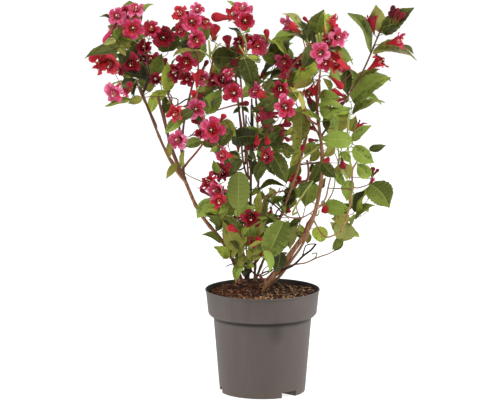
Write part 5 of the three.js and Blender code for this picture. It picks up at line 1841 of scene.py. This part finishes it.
def shoot(mass, aim, chance):
    """A leafy shoot from the nearest wood to a point of the mass, unless it would show or bear little."""
    outward = unit((aim - mass.middle) / mass.half + unit(aim * (1, 1, 0)) * 0.5 + (0, 0, 0.9))
    points = np.array(wood_points)
    parent = int(stalk_cost(aim[None], outward[None], points, np.array(wood_ways))[0].argmin())
    start, radius = points[parent], wood_radii[parent]
    far = np.linalg.norm(aim - start)
    out = unit(0.6 * unit(aim - start) + 0.4 * wood_ways[parent]) * far
    path = hermite(start, out, aim, outward * far * 0.7, max(4, int(far / (TWIG_STEP * MM))))
    shows = [in_gap(place) or not behind_front(place, 0, BARE_SLACK) for place in path]
    if np.mean(shows) > BARE_SHARE:
        return None
    ways = np.gradient(path, axis=0)
    along = along_path(path)
    turn = chance.uniform(0, math.pi)
    at = along[-1]
    leaves = []
    while at > BARE_FOOT * along[-1] and at > BARE_LEAST:
        place, way = found_at(at, along, path), unit(found_at(at, along, ways))
        first = unit(np.cross(way, (0.2, 0.9, 0.4)))
        out = around(turn, first, np.cross(way, first))
        for sign in (1, -1):
            ahead, lift = chance.uniform(0.35, 0.8), chance.uniform(-0.3, 0.1)
            heading = unit(sign * out + way * ahead + (0, 0, lift))
            foot = place + heading * STALK_LONG * MM
            fitted = fitted_leaf(mass, foot, heading, chance) if mass.holds(place, PAIR_ROOM) else None
            if fitted:
                leaves.append((place, foot, *fitted))
        turn += math.pi / 2 + chance.uniform(-0.2, 0.2)
        at -= PAIR_EVERY * chance.uniform(0.8, 1.2)
    if len(leaves) < LEAST_LEAVES:
        return None
    radii = np.linspace(min(radius, SHOOT_THICK * MM), SHOOT_END * MM, len(path))
    twigs.add_tube(path, radii, TWIG_SIDES, chance.choice(SHOOT_TONES))
    remember_wood(path[1:], radii[1:])
    tones = RIGHT_TONES if mass.middle[0] > RIGHT_FROM else LEFT_TONES
    for place, foot, tip, wide in leaves:
        face = unit([chance.uniform(-0.5, 0.5), chance.uniform(-0.6, 0.4), 1.0])
        blade(leaf_sheaves[mass.part], foot, tip, face, wide, chance.choice(tones), False, chance)
        twigs.add_tube([place, (place + foot) / 2, foot], [0.0006, 0.0005, 0.0005], 4, "stalk_green")
    return path[-1], unit(ways[-1])


AIM_TRIES, AIM_WITHIN, AIM_FROM = 20, 0.82, -0.1


def shoot_aim(mass, chance):
    """A point in the mass where a shoot may end. At the front it is in the rear half."""
    for _ in range(AIM_TRIES):
        spot = np.array([chance.uniform(-1, 1) for _ in range(3)])
        if mass.part != "back":
            spot[1] = chance.uniform(AIM_FROM, 1)
        if np.linalg.norm(spot) > 1:
            continue
        aim = mass.middle + spot * mass.half * AIM_WITHIN
        if not in_gap(aim):
            return aim
    return None


HEAD_HIDDEN, HEAD_CLEAR = 8, 6  # how far a flower stays behind the front, and off it, in sheet points
HEAD_TONES = ["bright", "mid", "mid", "dusty", "scarlet", "red", "dark"]
HEAD_RADIUS, HEAD_OPENED = (14.5, 18), (0.7, 1)  # millimetres, and a share
BUD_SHARE, BUD_FROM, BUD_TO, BUD_WIDE = 0.2, 9, 24, 7.5  # the last three in millimetres
HEAD_STALK, HEAD_STALK_BEND = 0.7, 8


def flower_head(mass, end, way, chance):
    """Flowers and buds at the end of a shoot."""
    for number in range(chance.choice([1, 2, 3])):
        spread = np.array([chance.uniform(-1, 1) for _ in range(3)])
        outward = unit((end - mass.middle) / mass.half + 1e-6)
        facing = unit(way * 0.5 + spread + outward * 0.9)
        radius = chance.uniform(*HEAD_RADIUS) * MM
        mouth = end + facing * radius * 2
        held = mass.part in INNER_PARTS or mass.holds(mouth, PAIR_ROOM)
        hidden = behind_front(mouth, HEAD_HIDDEN) and not hides_front(mouth, HEAD_CLEAR)
        if in_gap(mouth) or mouth[1] > CROWN_BACK or not hidden or not held:
            continue
        tone = chance.choice(HEAD_TONES)
        sheaf = bloom_sheaves[mass.part]
        if number == 2 or chance.random() < BUD_SHARE:
            foot, tip = end + facing * BUD_FROM * MM, end + facing * BUD_TO * MM
            bud(sheaf, foot, tip, BUD_WIDE * MM, chance.choice(["red", "dark", "mid"]), chance)
        else:
            foot = bloom(sheaf, mouth, facing, radius, tone, chance.uniform(*HEAD_OPENED), False, chance)
        bend = HEAD_STALK_BEND * MM
        path = hermite(end, way * bend, foot, facing * bend, 4)
        twigs.add_tube(path, [HEAD_STALK * MM] * len(path), 6, "stalk_green")


SHOOTS, BACK_SHOOTS = {"lea": 12, "bloom": 8}, {"lea": 40, "bloom": 26}  # for a mass of the usual size
USUAL_HALF = 0.043
HEAD_SHARE = 0.45  # how many shoots of the leaf masses at the back end in flowers
crown_chance = random.Random(23)
for mass in masses:
    kind = "bloom" if mass.name.startswith("bloom") else "lea"
    count = (BACK_SHOOTS if mass.part == "back" else SHOOTS)[kind]
    size_share = float(np.prod(mass.half)) ** (1 / 3) / USUAL_HALF
    for _ in range(max(1, round(count * size_share))):
        aim = shoot_aim(mass, crown_chance)
        if aim is None:
            continue
        grown = shoot(mass, aim, crown_chance)
        if grown and (kind == "bloom" or (mass.part == "back" and crown_chance.random() < HEAD_SHARE)):
            flower_head(mass, *grown, crown_chance)

INNER_SHOOTS = 700
UPPER_HEADS, LOWER_HEADS, UPPER_FROM = 0.6, 0.2, 0.4  # how many end in flowers, above and below that height
INNER_BACK = (20, 190)  # how far behind the front an inner shoot ends, in millimetres
INNER_EDGES = (-0.09, 0.06)  # between the left, the middle and the right piece
CROWN_HALF_WIDE, CROWN_HALF_DEEP, CROWN_MIDDLE = 0.3, 0.175, 0.02
# The heights between which the crown spreads to its full depth, and how much of that it has at the least.
CROWN_NARROW, CROWN_BROAD, CROWN_LEAST = 0.2, 0.42, 0.35
INNER_REACH = 0.06  # how far from its aim a shoot bears leaves


def inner_aim(chance):
    """A place behind a leaf or flower of the front, within the crown's round plan."""
    across, down, _, depth = spots[chance.randrange(len(spots))]
    place = from_sheet((across, down), depth + chance.uniform(*INNER_BACK) * MM)
    spread = min(1, max(CROWN_LEAST, (place[2] - CROWN_NARROW) / (CROWN_BROAD - CROWN_NARROW)))
    round_plan = math.sqrt(max(0, 1 - (place[0] / CROWN_HALF_WIDE) ** 2))
    limit = CROWN_MIDDLE + CROWN_HALF_DEEP * spread * round_plan
    return place if place[1] < limit else None


for _ in range(INNER_SHOOTS):
    aim = inner_aim(crown_chance)
    if aim is None or in_gap(aim):
        continue
    third = sum(aim[0] >= edge for edge in INNER_EDGES)
    space = Space(INNER_PARTS[third], aim, np.full(3, INNER_REACH))
    grown = shoot(space, aim, crown_chance)
    if grown and crown_chance.random() < (UPPER_HEADS if aim[2] > UPPER_FROM else LOWER_HEADS):
        flower_head(space, *grown, crown_chance)

for part in leaf_sheaves:
    nodes = PARTS.get(part, [])
    leaf_nodes = [name for name in nodes if name.startswith("lea")]
    bloom_nodes = [name for name in nodes if name.startswith("bloom")]
    leaf_sheaves[part].piece("leaves_" + part, "leaf", leaf_palette, leaf_nodes)
    bloom_sheaves[part].piece("blossom_" + part, "blossom", petal_palette, bloom_nodes)
twigs.piece("twigs", "bark", twig_palette)
